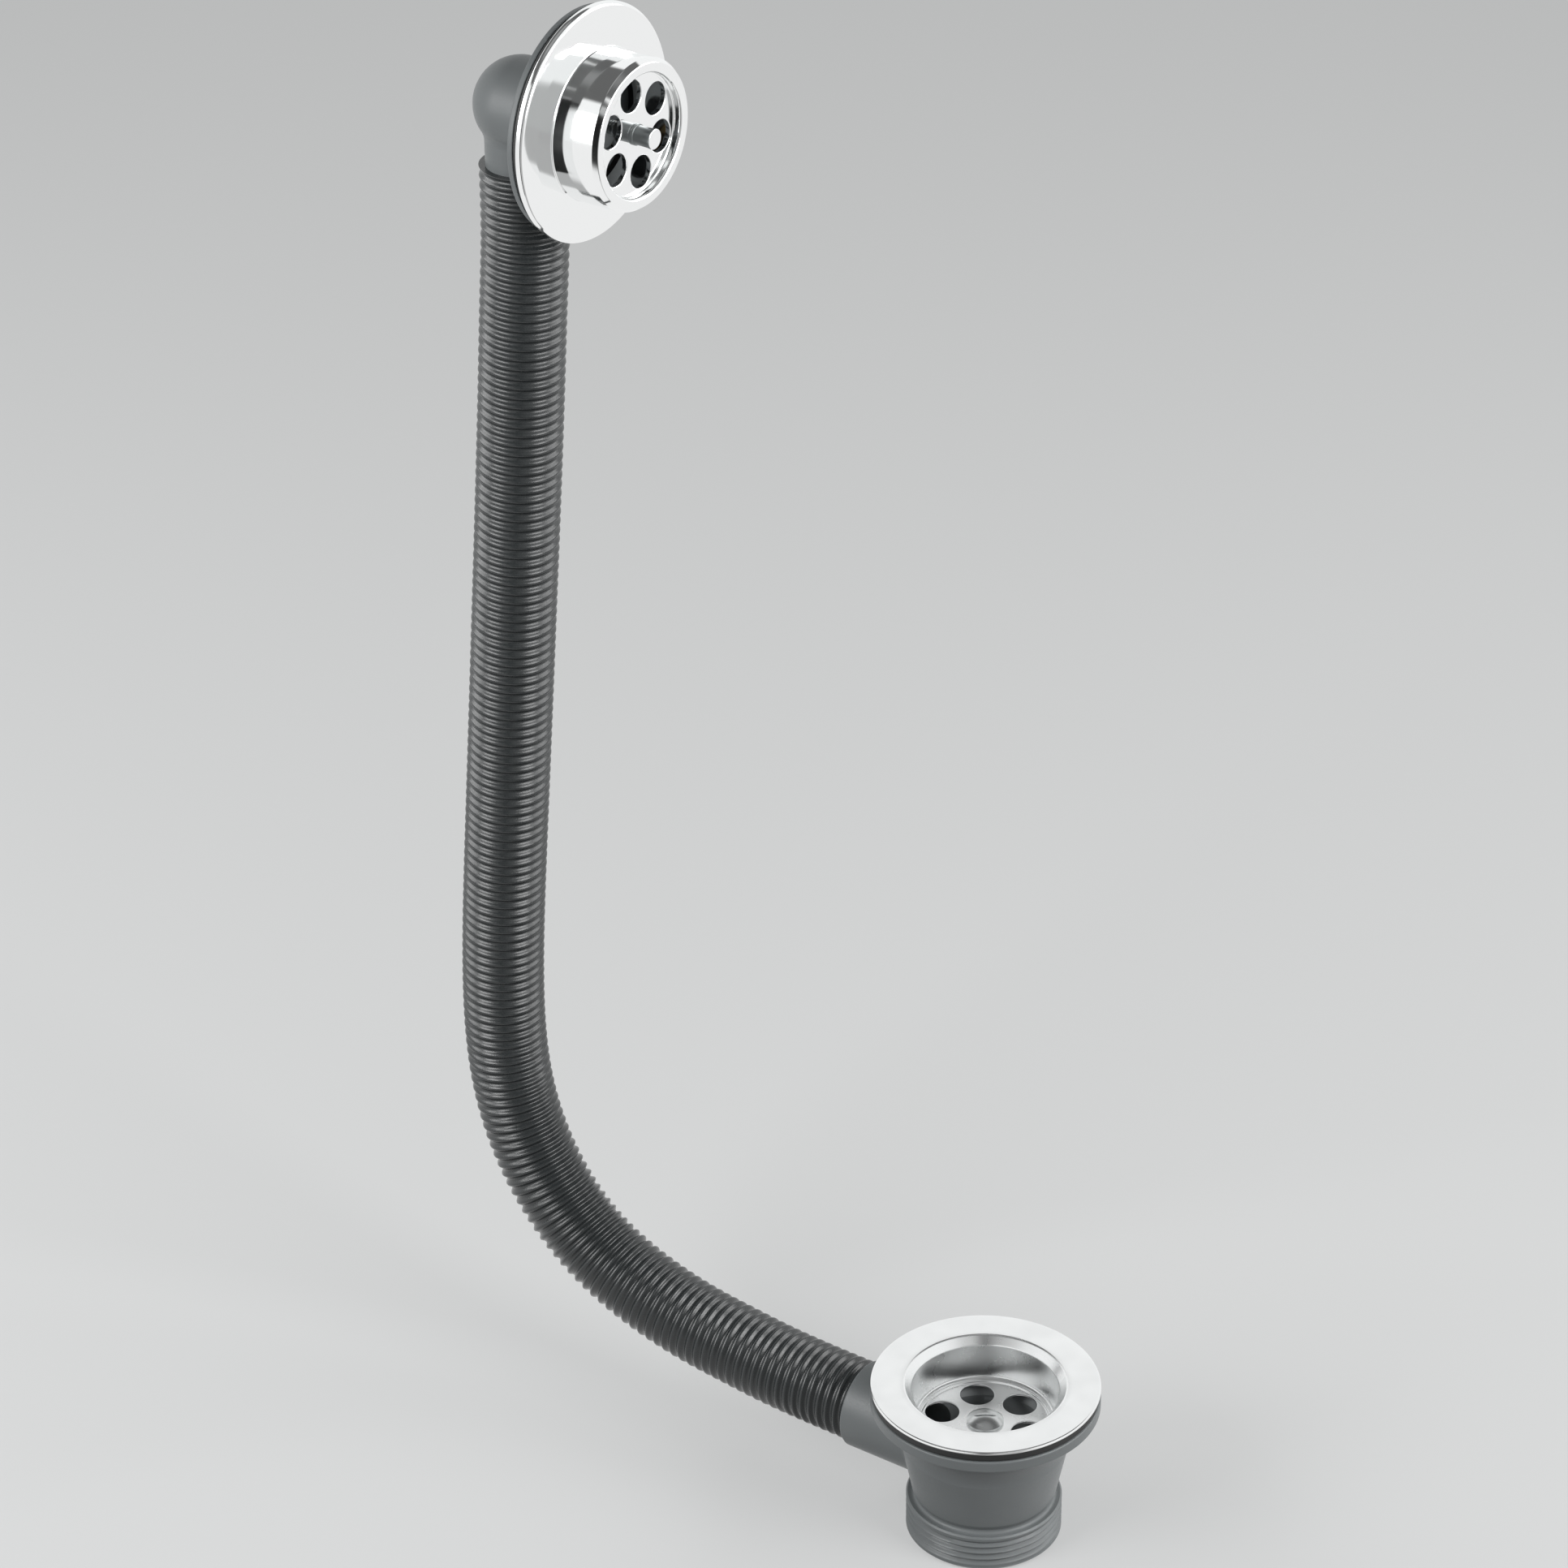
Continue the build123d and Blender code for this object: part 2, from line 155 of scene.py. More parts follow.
def rounded(corners):
    """A closed outline of (radius, height) points from (radius, height, rounding) corners."""
    points = []
    for index, (r, h, rounding) in enumerate(corners):
        here = Vector((r, h))
        if not rounding:
            points.append((r, h))
            continue
        before = (Vector(corners[index - 1][:2]) - here).normalized()
        after = (Vector(corners[(index + 1) % len(corners)][:2]) - here).normalized()
        half = before.angle(after) / 2
        start = here + before * rounding / math.tan(half)
        centre = here + (before + after).normalized() * rounding / math.sin(half)
        sweep = math.pi - 2 * half
        turn_sign = 1 if before.x * after.y - before.y * after.x < 0 else -1
        steps = max(2, math.ceil(sweep / ARC_STEP))
        first = math.atan2(start.y - centre.y, start.x - centre.x)
        for step in range(steps + 1):
            angle = first + turn_sign * sweep * step / steps
            points.append((centre.x + rounding * math.cos(angle), centre.y + rounding * math.sin(angle)))
    return points


def lathe(name, outline, segments=ROUND_SEGMENTS, shift=None):
    """A closed outline turned about Z; shift may move a point in or out by its place."""
    rings = []
    for r, h in outline:
        if r < SAME:
            rings.append([(0, 0, h)])
            continue
        ring = []
        for step in range(segments):
            angle = math.tau * step / segments
            reach = r + (shift(r, h, angle) if shift else 0)
            ring.append((reach * math.cos(angle), reach * math.sin(angle), h))
        rings.append(ring)
    return skin(name, rings, joined=True)


def disc(name, radius, low, high, segments=ROUND_SEGMENTS):
    """A plain round tool between two heights."""
    return lathe(name, [(0, low), (radius, low), (radius, high), (0, high)], segments)


def placed(piece, matrix):
    """Puts a piece's place into its mesh."""
    piece.data.transform(matrix)
    return piece


print("helpers ready, circles have", ROUND_SEGMENTS, "sides")

# %% [markdown]
# ## Joining, cutting and smoothing
# A moulding is one skin, so its parts are joined with exact booleans instead of being left to
# overlap. Afterwards each mesh is shaded smooth, with sharp corners kept crisp and the normals
# weighted by area, so that flat faces stay flat in a mirror finish.

# %% Boolean and shading helpers
CRISP_ANGLE = math.radians(32)
WELD = 0.002


def baked(piece):
    """Turns a piece's modifiers into its plain mesh."""
    evaluated = piece.evaluated_get(bpy.context.evaluated_depsgraph_get())
    mesh = bpy.data.meshes.new_from_object(evaluated)
    piece.modifiers.clear()
    old = piece.data
    piece.data = mesh
    bpy.data.meshes.remove(old)
    mesh.name = piece.name
    return piece


def combined(piece, tool, operation):
    """Joins a tool to a piece, or cuts it away, and drops the tool."""
    step = piece.modifiers.new("combine", "BOOLEAN")
    step.object = tool
    step.operation = operation
    step.solver = "EXACT"
    baked(piece)
    bpy.data.objects.remove(tool)
    return piece


def smoothed(piece):
    """Smooth shading with crisp corners and flat flats."""
    shape = bmesh.new()
    shape.from_mesh(piece.data)
    bmesh.ops.remove_doubles(shape, verts=shape.verts, dist=WELD * MM)
    bmesh.ops.dissolve_degenerate(shape, edges=shape.edges, dist=WELD * MM / 2)
    shape.to_mesh(piece.data)
    shape.free()
    piece.data.shade_smooth()
    piece.data.set_sharp_from_angle(angle=CRISP_ANGLE)
    step = piece.modifiers.new("flat faces", "WEIGHTED_NORMAL")
    step.mode = "FACE_AREA"
    step.keep_sharp = True
    return baked(piece)


def dressed(piece, node, material):
    """A finished piece: its material, the solid it stands for, and the body it rides on."""
    piece.data.materials.clear()
    piece.data.materials.append(material)
    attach(piece, "root")
    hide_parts(node)
    print(f"{piece.name}: {len(piece.data.polygons)} faces")
    return piece


print(f"corners over {math.degrees(CRISP_ANGLE):.0f} degrees stay crisp")

# %% [markdown]
# ## One function for nodes
# Shaders and geometry trees are built the same way: add a node, set its options, and give each
# input a value or a link. Colours are written as they look on a screen and turned to linear
# light once.

# %% Node and colour helpers
def feed(tree, node, inputs):
    """Gives a node's inputs their values or links."""
    for key, value in inputs.items():
        socket = node.inputs[key]
        if isinstance(value, bpy.types.NodeSocket):
            tree.links.new(value, socket)
        else:
            socket.default_value = value


def add(tree, kind, inputs=None, **settings):
    """Adds a node, with settings on the node and values or links on its inputs."""
    node = tree.nodes.new(kind)
    for name, value in settings.items():
        setattr(node, name, value)
    feed(tree, node, inputs or {})
    return node


def linear(code):
    """A linear colour from an sRGB hex code."""
    channels = [int(code[place:place + 2], 16) / 255 for place in (1, 3, 5)]
    return [c / 12.92 if c <= 0.04045 else ((c + 0.055) / 1.055) ** 2.4 for c in channels] + [1.0]


def new_material(name):
    """A node material, its tree, its surface shader and its Object coordinates."""
    material = bpy.data.materials.new(name)
    material.use_nodes = True
    tree = material.node_tree
    place = add(tree, "ShaderNodeTexCoord").outputs["Object"]
    return material, tree, tree.nodes["Principled BSDF"], place


print("mid grey #808080 is", round(linear("#808080")[0], 3), "in linear light")

# %% [markdown]
# ## Chrome plate
# The rose is plated: copper and nickel polished bright, then a film of chromium. To the eye it
# is a mirror with a faint cold tint. Two small things keep it from looking like a computer's
# mirror: the plate follows a slightly wavy casting, and hands leave faint smudges. The screws'
# plate has a darker colour and more roughness than the rose's, and the stud's side more still.

# %% Chrome plate
SMUDGE_SIZE = 12.0
SMUDGE_FROM = 0.35
SMUDGE_FULL = 0.75
WAVE_LENGTH = 15.0
WAVE_HEIGHT = 0.02


def chrome_plate(name, colour, roughness, smudge):
    """Mirror plate over a slightly wavy casting; smudges change only its sharpness."""
    material, tree, shader, place = new_material(name)
    smudges = add(tree, "ShaderNodeTexNoise", {
        "Vector": place, "Scale": 1 / (SMUDGE_SIZE * MM), "Detail": 3.0})
    dulled = add(tree, "ShaderNodeMapRange", {
        "Value": smudges.outputs["Fac"], "From Min": SMUDGE_FROM, "From Max": SMUDGE_FULL,
        "To Min": roughness, "To Max": roughness + smudge})
    waves = add(tree, "ShaderNodeTexNoise", {
        "Vector": place, "Scale": 1 / (WAVE_LENGTH * MM), "Detail": 1.0})
    bump = add(tree, "ShaderNodeBump", {
        "Height": waves.outputs["Fac"], "Strength": 1.0, "Distance": WAVE_HEIGHT * MM})
    feed(tree, shader, {
        "Base Color": linear(colour), "Metallic": 1.0,
        "Roughness": dulled.outputs["Result"], "Normal": bump.outputs["Normal"]})
    return material


bright_chrome = chrome_plate("bright_chrome_plate", "#f6f7f7", roughness=0.05, smudge=0.05)
screw_chrome = chrome_plate("plated_screw", "#d9dbdb", roughness=0.18, smudge=0.1)
stay_chrome = chrome_plate("dull_plated_stud", "#7d8181", roughness=0.32, smudge=0.1)
print("made", bright_chrome.name, screw_chrome.name, "and", stay_chrome.name)

# %% [markdown]
# ## Pressed stainless steel
# The strainer bowl is one pressing of stainless sheet. Its flange is polished with a soft wheel,
# which leaves a nearly white face with the finest of rings, while the deep bowl, where no wheel
# reaches, keeps the satin of the press. The finish therefore changes with the distance from the
# axis.

# %% Pressed stainless steel
SATIN_TO_R = 24.5
BRIGHT_FROM_R = 26.5
SATIN_ROUGHNESS = 0.26
BRIGHT_ROUGHNESS = 0.17
STEEL_SMUDGE_SIZE = 9.0
STEEL_SMUDGE_CLEAR = -0.02
STEEL_SMUDGE_DULL = 0.05
RING_SPACING = 0.5
RING_HEIGHT = 0.0008
# Nearly all of a noise lies between these two values
NOISE_LOW = 0.3
NOISE_HIGH = 0.7


def pressed_steel():
    """Satin in the bowl, brighter on the flange, with faint polishing rings."""
    material, tree, shader, place = new_material("pressed_stainless_steel")
    flat = add(tree, "ShaderNodeVectorMath", {0: place, 1: (1, 1, 0)}, operation="MULTIPLY")
    radius = add(tree, "ShaderNodeVectorMath", {0: flat.outputs[0]}, operation="LENGTH")
    satin = add(tree, "ShaderNodeMapRange", {
        "Value": radius.outputs["Value"],
        "From Min": SATIN_TO_R * MM, "From Max": BRIGHT_FROM_R * MM,
        "To Min": SATIN_ROUGHNESS, "To Max": BRIGHT_ROUGHNESS})
    smudges = add(tree, "ShaderNodeTexNoise", {
        "Vector": place, "Scale": 1 / (STEEL_SMUDGE_SIZE * MM), "Detail": 4.0})
    spread = add(tree, "ShaderNodeMapRange", {
        "Value": smudges.outputs["Fac"], "From Min": NOISE_LOW, "From Max": NOISE_HIGH,
        "To Min": STEEL_SMUDGE_CLEAR, "To Max": STEEL_SMUDGE_DULL})
    rough = add(tree, "ShaderNodeMath", {0: satin.outputs["Result"], 1: spread.outputs["Result"]})
    # The real rings are finer than a picture can show, so these stand half a millimetre apart
    phase = add(tree, "ShaderNodeMath", {
        0: radius.outputs["Value"], 1: math.tau / (RING_SPACING * MM)}, operation="MULTIPLY")
    rings = add(tree, "ShaderNodeMath", {0: phase.outputs[0]}, operation="SINE")
    bump = add(tree, "ShaderNodeBump", {
        "Height": rings.outputs[0], "Strength": 0.5, "Distance": RING_HEIGHT * MM})
    feed(tree, shader, {
        "Base Color": linear("#f5f6f6"), "Metallic": 1.0,
        "Roughness": rough.outputs[0], "Normal": bump.outputs["Normal"]})
    return material


steel = pressed_steel()
print("made", steel.name)

# %% [markdown]
# ## Moulded plastics and rubber
# The body and the elbow are injection-moulded polypropylene, the hose is blown polyethylene and
# the seals are black rubber. All are plain colours with a soft sheen. What the eye reads as
# plastic is the fine grain of the mould, a little cloudiness in the colour, and the way the
# sheen breaks up, so each of these gets a pattern of its real size.

# %% Moulded plastics and rubber
GRAIN_CLEAR = -0.04
GRAIN_DULL = 0.06


def moulded(name, dark, pale, roughness, grain, grain_depth, cloud):
    """A coloured plastic or rubber; grain, its depth and cloud are sizes in millimetres."""
    material, tree, shader, place = new_material(name)
    clouds = add(tree, "ShaderNodeTexNoise", {
        "Vector": place, "Scale": 1 / (cloud * MM), "Detail": 4.0})
    colour = add(tree, "ShaderNodeMix", {
        0: clouds.outputs["Fac"], 6: linear(dark), 7: linear(pale)}, data_type="RGBA")
    pits = add(tree, "ShaderNodeTexNoise", {
        "Vector": place, "Scale": 1 / (grain * MM), "Detail": 2.0})
    rough = add(tree, "ShaderNodeMapRange", {
        "Value": pits.outputs["Fac"], "From Min": NOISE_LOW, "From Max": NOISE_HIGH,
        "To Min": roughness + GRAIN_CLEAR, "To Max": roughness + GRAIN_DULL})
    bump = add(tree, "ShaderNodeBump", {
        "Height": pits.outputs["Fac"], "Strength": 1.0, "Distance": grain_depth * MM})
    feed(tree, shader, {
        "Base Color": colour.outputs[2],
        "Roughness": rough.outputs["Result"], "Normal": bump.outputs["Normal"]})
    return material


grey_polypropylene = moulded(
    "grey_polypropylene", "#636768", "#6c7071", roughness=0.45, grain=0.5, grain_depth=0.004, cloud=14)
hose_polyethylene = moulded(
    "dark_polyethylene", "#222526", "#292c2d", roughness=0.27, grain=0.7, grain_depth=0.004, cloud=18)
black_rubber = moulded(
    "black_rubber", "#141515", "#1b1c1c", roughness=0.6, grain=0.4, grain_depth=0.006, cloud=8)
print("made", grey_polypropylene.name, hose_polyethylene.name, "and", black_rubber.name)

# %% [markdown]
# ## Turned brass
# The inserts that take the screws are turned from brass. In the damp it tarnishes unevenly, so
# the eye gets a dull yellow with shinier and duller spots.

# %% Turned brass
TARNISH_SIZE = 4.0
TARNISH_CLEAR = 0.2
TARNISH_DULL = 0.4


def turned_brass():
    """Dull yellow brass with uneven tarnish."""
    material, tree, shader, place = new_material("turned_brass")
    tarnish = add(tree, "ShaderNodeTexNoise", {
        "Vector": place, "Scale": 1 / (TARNISH_SIZE * MM), "Detail": 3.0})
    rough = add(tree, "ShaderNodeMapRange", {
        "Value": tarnish.outputs["Fac"], "To Min": TARNISH_CLEAR, "To Max": TARNISH_DULL})
    feed(tree, shader, {
        "Base Color": linear("#6b5a3a"), "Metallic": 1.0, "Roughness": rough.outputs["Result"]})
    return material


brass = turned_brass()
print("made", brass.name)

# %% [markdown]
# ## The hose's line
# The hose is pushed over a spigot at each end and bends freely between them, so its line is one
# smooth curve that starts and ends along the spigots' axes. A NURBS curve led by listed points
# gives that: it leaves the overflow straight down, leans away from the bath on the long run, and
# turns forward in one wide bend to the waste.

# %% Hose line
HOSE_TOP_DROP = 18.0
BRANCH_DROP = 26.2
BRANCH_REACH = 44.5
ELBOW_R = 13.8
LINE_STEPS = 24
CUBIC = 4

elbow_x = elbow_low.x + ELBOW_R
branch_z = flange_top - BRANCH_DROP
hose_top_z = overflow_z - HOSE_TOP_DROP

HOSE_POINTS = [
    (elbow_x, hose_top_z),
    (elbow_x, hose_top_z - 10),
    (elbow_x, hose_top_z - 22),
    (elbow_x - 1.8, hose_top_z - 42),
    (-165.6, flange_top + 282.5),
    (-171.2, flange_top + 212.5),
    (-177.2, flange_top + 138.5),
    (-181.9, flange_top + 82.5),
    (-180.8, flange_top + 40.5),
    (-167.2, flange_top + 9.2),
    (-144.8, flange_top - 12.2),
    (-113.0, flange_top - 22.2),
    (-92.0, flange_top - 24.0),
    (-76.0, branch_z + 0.2),
    (-BRANCH_REACH - 10, branch_z),
    (-BRANCH_REACH, branch_z),
]
line_data = bpy.data.curves.new("hose_line", "CURVE")
line_data.dimensions = "3D"
line_data.resolution_u = LINE_STEPS
spline = line_data.splines.new("NURBS")
spline.points.add(len(HOSE_POINTS) - 1)
for point, (x, z) in zip(spline.points, HOSE_POINTS):
    point.co = (x * MM, 0, z * MM, 1)
spline.order_u = CUBIC
spline.use_endpoint_u = True
hose = new_object("overflow_hose_ribbed", line_data)
print(f"hose line: {spline.calc_length() / MM:.1f} mm")

# %% [markdown]
# ## The ribs
# The hose is blown plastic with a rib every three millimetres, and crests and grooves are
# equally round. Modelling one rib and repeating it would leave seams in the bend, so a geometry
# tree follows the line instead. It samples the line several times per rib, lets the radius rise
# and fall as a cosine of the distance along it, and sweeps a circle of that radius. Each end is
# cut at a crest.

# %% Geometry tree for the ribbed hose
RIB_PITCH = 3.1
SAMPLES_PER_RIB = 8
CREST_R = 12.8
GROOVE_DEPTH = 1.1
HOSE_BORE_R = 11.05
HOSE_SIDES = 64


def new_tree(name, inputs, result):
    """A geometry tree, the identifiers of its inputs by their labels, and the inputs themselves."""
    tree = bpy.data.node_groups.new(name, "GeometryNodeTree")
    sockets = {}
    for label, kind in inputs.items():
        socket = tree.interface.new_socket(label, in_out="INPUT", socket_type="NodeSocket" + kind)
        sockets[label] = socket.identifier
    tree.interface.new_socket(result, in_out="OUTPUT", socket_type="NodeSocketGeometry")
    return tree, sockets, add(tree, "NodeGroupInput").outputs


def grow(piece, tree, sockets, values):
    """Puts a geometry tree on a piece and sets its inputs by their identifiers."""
    step = piece.modifiers.new(tree.name, "NODES")
    step.node_group = tree
    for label, value in values.items():
        step[sockets[label]] = value


def ribbed_tree(name):
    """Sweeps a circle along a curve with a radius that follows the ribs."""
    tree, sockets, given = new_tree(name, {
        "Line": "Geometry", "Rib Count": "Int", "Samples Per Rib": "Int", "Crest Radius": "Float",
        "Groove Depth": "Float", "Bore Radius": "Float", "Sides": "Int", "Finish": "Material",
    }, "Hose")
    rows = add(tree, "ShaderNodeMath", {
        0: given["Rib Count"], 1: given["Samples Per Rib"]}, operation="MULTIPLY")
    count = add(tree, "ShaderNodeMath", {0: rows.outputs[0], 1: 1.0})
    fine = add(tree, "GeometryNodeResampleCurve", {
        "Curve": given["Line"], "Count": count.outputs[0]}, mode="COUNT")
    along = add(tree, "GeometryNodeSplineParameter")
    ribs = add(tree, "ShaderNodeMath", {
        0: along.outputs["Factor"], 1: given["Rib Count"]}, operation="MULTIPLY")
    phase = add(tree, "ShaderNodeMath", {0: ribs.outputs[0], 1: math.tau}, operation="MULTIPLY")
    wave = add(tree, "ShaderNodeMath", {0: phase.outputs[0]}, operation="COSINE")
    half_depth = add(tree, "ShaderNodeMath", {0: given["Groove Depth"], 1: 0.5}, operation="MULTIPLY")
    mean = add(tree, "ShaderNodeMath", {
        0: given["Crest Radius"], 1: half_depth.outputs[0]}, operation="SUBTRACT")
    radius = add(tree, "ShaderNodeMath", {
        0: wave.outputs[0], 1: half_depth.outputs[0], 2: mean.outputs[0]}, operation="MULTIPLY_ADD")
    unit = add(tree, "GeometryNodeCurvePrimitiveCircle", {"Resolution": given["Sides"], "Radius": 1.0})
    outside = add(tree, "GeometryNodeCurveToMesh", {
        "Curve": fine.outputs["Curve"], "Profile Curve": unit.outputs["Curve"], "Scale": radius.outputs[0]})
    coarse = add(tree, "GeometryNodeResampleCurve", {
        "Curve": given["Line"], "Count": given["Rib Count"]}, mode="COUNT")
    inside = add(tree, "GeometryNodeCurveToMesh", {
        "Curve": coarse.outputs["Curve"], "Profile Curve": unit.outputs["Curve"],
        "Scale": given["Bore Radius"]})
    both = add(tree, "GeometryNodeJoinGeometry")
    tree.links.new(outside.outputs["Mesh"], both.inputs[0])
    tree.links.new(inside.outputs["Mesh"], both.inputs[0])
    solid = add(tree, "GeometryNodeRealizeInstances", {"Geometry": both.outputs["Geometry"]})
    finished = add(tree, "GeometryNodeSetMaterial", {
        "Geometry": solid.outputs["Geometry"], "Material": given["Finish"]})
    add(tree, "NodeGroupOutput", {"Hose": finished.outputs["Geometry"]})
    return tree, sockets


hose_tree, hose_sockets = ribbed_tree("ribbed_hose")
rib_count = round(spline.calc_length() / MM / RIB_PITCH)
grow(hose, hose_tree, hose_sockets, {
    "Rib Count": rib_count,
    "Samples Per Rib": SAMPLES_PER_RIB,
    "Crest Radius": CREST_R * MM,
    "Groove Depth": GROOVE_DEPTH * MM,
    "Bore Radius": HOSE_BORE_R * MM,
    "Sides": HOSE_SIDES,
    "Finish": hose_polyethylene,
})
hose_mesh = bpy.data.meshes.new_from_object(hose.evaluated_get(bpy.context.evaluated_depsgraph_get()))
bpy.data.objects.remove(hose)
print(f"hose: {rib_count} ribs, {len(hose_mesh.polygons)} faces")

# %% [markdown]
# The sweep leaves the wall open at both ends, as two loops of edges each. Bridging each pair of
# loops gives the hose its cut ends and makes it one closed solid. Only those ends are crisp.

# %% Close the hose's ends
CUT_END_ANGLE = math.radians(60)

shape = bmesh.new()
shape.from_mesh(hose_mesh)
open_edges = [edge for edge in shape.edges if edge.is_boundary]
middle_z = (hose_top_z + branch_z) / 2 * MM
for end in (
    [edge for edge in open_edges if edge.verts[0].co.z > middle_z],
    [edge for edge in open_edges if edge.verts[0].co.z < middle_z],
):
    bmesh.ops.bridge_loops(shape, edges=end)
bmesh.ops.recalc_face_normals(shape, faces=shape.faces)
print("open edges left:", sum(edge.is_boundary for edge in shape.edges))
shape.to_mesh(hose_mesh)
shape.free()
hose = new_object("overflow_hose_ribbed", hose_mesh)
hose.data.shade_smooth()
hose.data.set_sharp_from_angle(angle=CUT_END_ANGLE)
dressed(hose, "overflow_hose", hose_polyethylene)

# %% [markdown]
# ## Perforations
# The strainer and the rose each have a ring of round holes with softened edges. A hole is a
# short trumpet that is cut away, and since the same cut repeats round a circle, a small
# geometry tree does it: points on a circle, a cutter on each, and one exact cut.

# %% Geometry tree that drills a circle of holes
TRUMPET_STEPS = 6
TRUMPET_FLARE = math.radians(80)  # a little short of flat, which keeps the cut clean
HOLE_SIDES = 64
PAST = 1.0  # how far a tool reaches past the face that it cuts


def trumpet(name, hole_r, edge_r, low, high):
    """A cutter whose mouth flares at both ends, so that the hole's edges come out rounded."""
    outline = [(0, low - PAST), (hole_r + edge_r, low - PAST)]
    for face, sign in ((low, 1), (high, -1)):
        arc = []
        for step in range(TRUMPET_STEPS + 1):
            angle = TRUMPET_FLARE * step / TRUMPET_STEPS
            arc.append((
                hole_r + edge_r * (1 - math.cos(angle)),
                face + sign * edge_r * (1 - math.sin(angle)),
            ))
        outline += reversed(arc) if sign == 1 else arc
    outline += [(hole_r + edge_r, high + PAST), (0, high + PAST)]
    return lathe(name, outline, HOLE_SIDES)


def drilling_tree(name):
    """Cuts a circle of holes with one cutter object."""
    tree, sockets, given = new_tree(name, {
        "Plate": "Geometry", "Cutter": "Object", "Hole Count": "Int", "Circle Radius": "Float",
        "Turn": "Float", "Finish": "Material",
    }, "Drilled")
    circle = add(tree, "GeometryNodeMeshCircle", {
        "Vertices": given["Hole Count"], "Radius": given["Circle Radius"]})
    tool = add(tree, "GeometryNodeObjectInfo", {"Object": given["Cutter"]})
    tools = add(tree, "GeometryNodeInstanceOnPoints", {
        "Points": circle.outputs["Mesh"], "Instance": tool.outputs["Geometry"]})
    angles = add(tree, "ShaderNodeCombineXYZ", {"Z": given["Turn"]})
    turned = add(tree, "GeometryNodeTransform", {
        "Geometry": tools.outputs["Instances"], "Rotation": angles.outputs["Vector"]})
    loose = add(tree, "GeometryNodeRealizeInstances", {"Geometry": turned.outputs["Geometry"]})
    cut = add(tree, "GeometryNodeMeshBoolean", {
        "Mesh 1": given["Plate"], "Mesh 2": loose.outputs["Geometry"],
    }, operation="DIFFERENCE", solver="EXACT")
    solid = add(tree, "GeometryNodeRealizeInstances", {"Geometry": cut.outputs["Mesh"]})
    finished = add(tree, "GeometryNodeSetMaterial", {
        "Geometry": solid.outputs["Geometry"], "Material": given["Finish"]})
    add(tree, "NodeGroupOutput", {"Drilled": finished.outputs["Geometry"]})
    return tree, sockets


drill_tree, drill_sockets = drilling_tree("circle_of_holes")


def drilled(piece, cutter, count, circle_r, turn, material):
    """Drills a piece that still lies on the Z axis, and drops the cutter."""
    grow(piece, drill_tree, drill_sockets, {
        "Cutter": cutter,
        "Hole Count": count,
        "Circle Radius": circle_r * MM,
        "Turn": turn,
        "Finish": material,
    })
    baked(piece)
    bpy.data.objects.remove(cutter)
    print(f"{piece.name}: {count} holes on a circle of {circle_r} mm radius")
    return piece


print("holes have", HOLE_SIDES, "sides")

# %% [markdown]
# ## The overflow rose
# The rose is one casting: a thin flange that swells towards a drum, and a perforated face sunk
# behind a bevelled rim. Every corner of a plated casting is rounded, since plate won't take on a
# sharp edge, and those roundings are where a mirror finish shows its bright lines.

# %% Overflow rose
ROSE_R = rose_high.y
DRUM_R = 22.0
FLANGE_EDGE = 2.0
FLANGE_RISE = 1.25
FLANGE_ROUND = 1.4
SWELL_R = 28.0
SWELL_RISE = 0.85
SWELL_ROUND = 12.0
RIM_WIDTH = 4.2
RIM_ROUND = 1.1
RIM_BEVEL_RISE = 1.7
RIM_BEVEL_IN = 1.1
RIM_BEVEL_ROUND = 0.6
RECESS = 2.6
FACE = 1.8
DRUM_WALL = 1.9
STAY_HOLE_R = 2.8
ROSE_HOLE_R = 4.7
ROSE_HOLE_EDGE = 0.35
ROSE_HOLE_COUNT = 6
ROSE_HOLE_CIRCLE_R = 12.0
ROSE_HOLE_TURN = math.radians(9)

rose_back, rose_front = rose_low.x, rose_high.x
face_x = rose_front - RECESS
face_back = face_x - FACE
edge_front = rose_back + FLANGE_EDGE
drum_foot = edge_front + FLANGE_RISE
recess_r = DRUM_R - RIM_WIDTH

rose = lathe("overflow_rose_plated", rounded([
    (STAY_HOLE_R, face_x, 0.3),
    (recess_r, face_x, 0.5),
    (recess_r, rose_front, RIM_ROUND),
    (DRUM_R - RIM_BEVEL_IN, rose_front, RIM_BEVEL_ROUND),
    (DRUM_R, rose_front - RIM_BEVEL_RISE, RIM_BEVEL_ROUND),
    (DRUM_R, drum_foot, 0.5),
    (SWELL_R, edge_front + SWELL_RISE, SWELL_ROUND),
    (ROSE_R, edge_front, FLANGE_ROUND),
    (ROSE_R, rose_back, 0.4),
    (DRUM_R - DRUM_WALL, rose_back, 0.3),
    (DRUM_R - DRUM_WALL, face_back, 1.0),
    (STAY_HOLE_R, face_back, 0.0),
]))
rose_cutter = trumpet("rose_cutter", ROSE_HOLE_R, ROSE_HOLE_EDGE, face_back, face_x)
drilled(rose, rose_cutter, ROSE_HOLE_COUNT, ROSE_HOLE_CIRCLE_R, ROSE_HOLE_TURN, bright_chrome)
placed(smoothed(rose), lay_forward)
dressed(rose, "overflow_rose", bright_chrome)

# %% [markdown]
# ## Screw threads
# A thread is a ridge that climbs one pitch per turn. On a lathe outline it is only a change of
# radius: the deeper into the groove, the smaller the radius, with the place in the groove given
# by the height and the angle together. The groove fades out at both ends, as a cut or moulded
# thread does.

# %% Thread helper
ROWS_PER_PITCH = 8


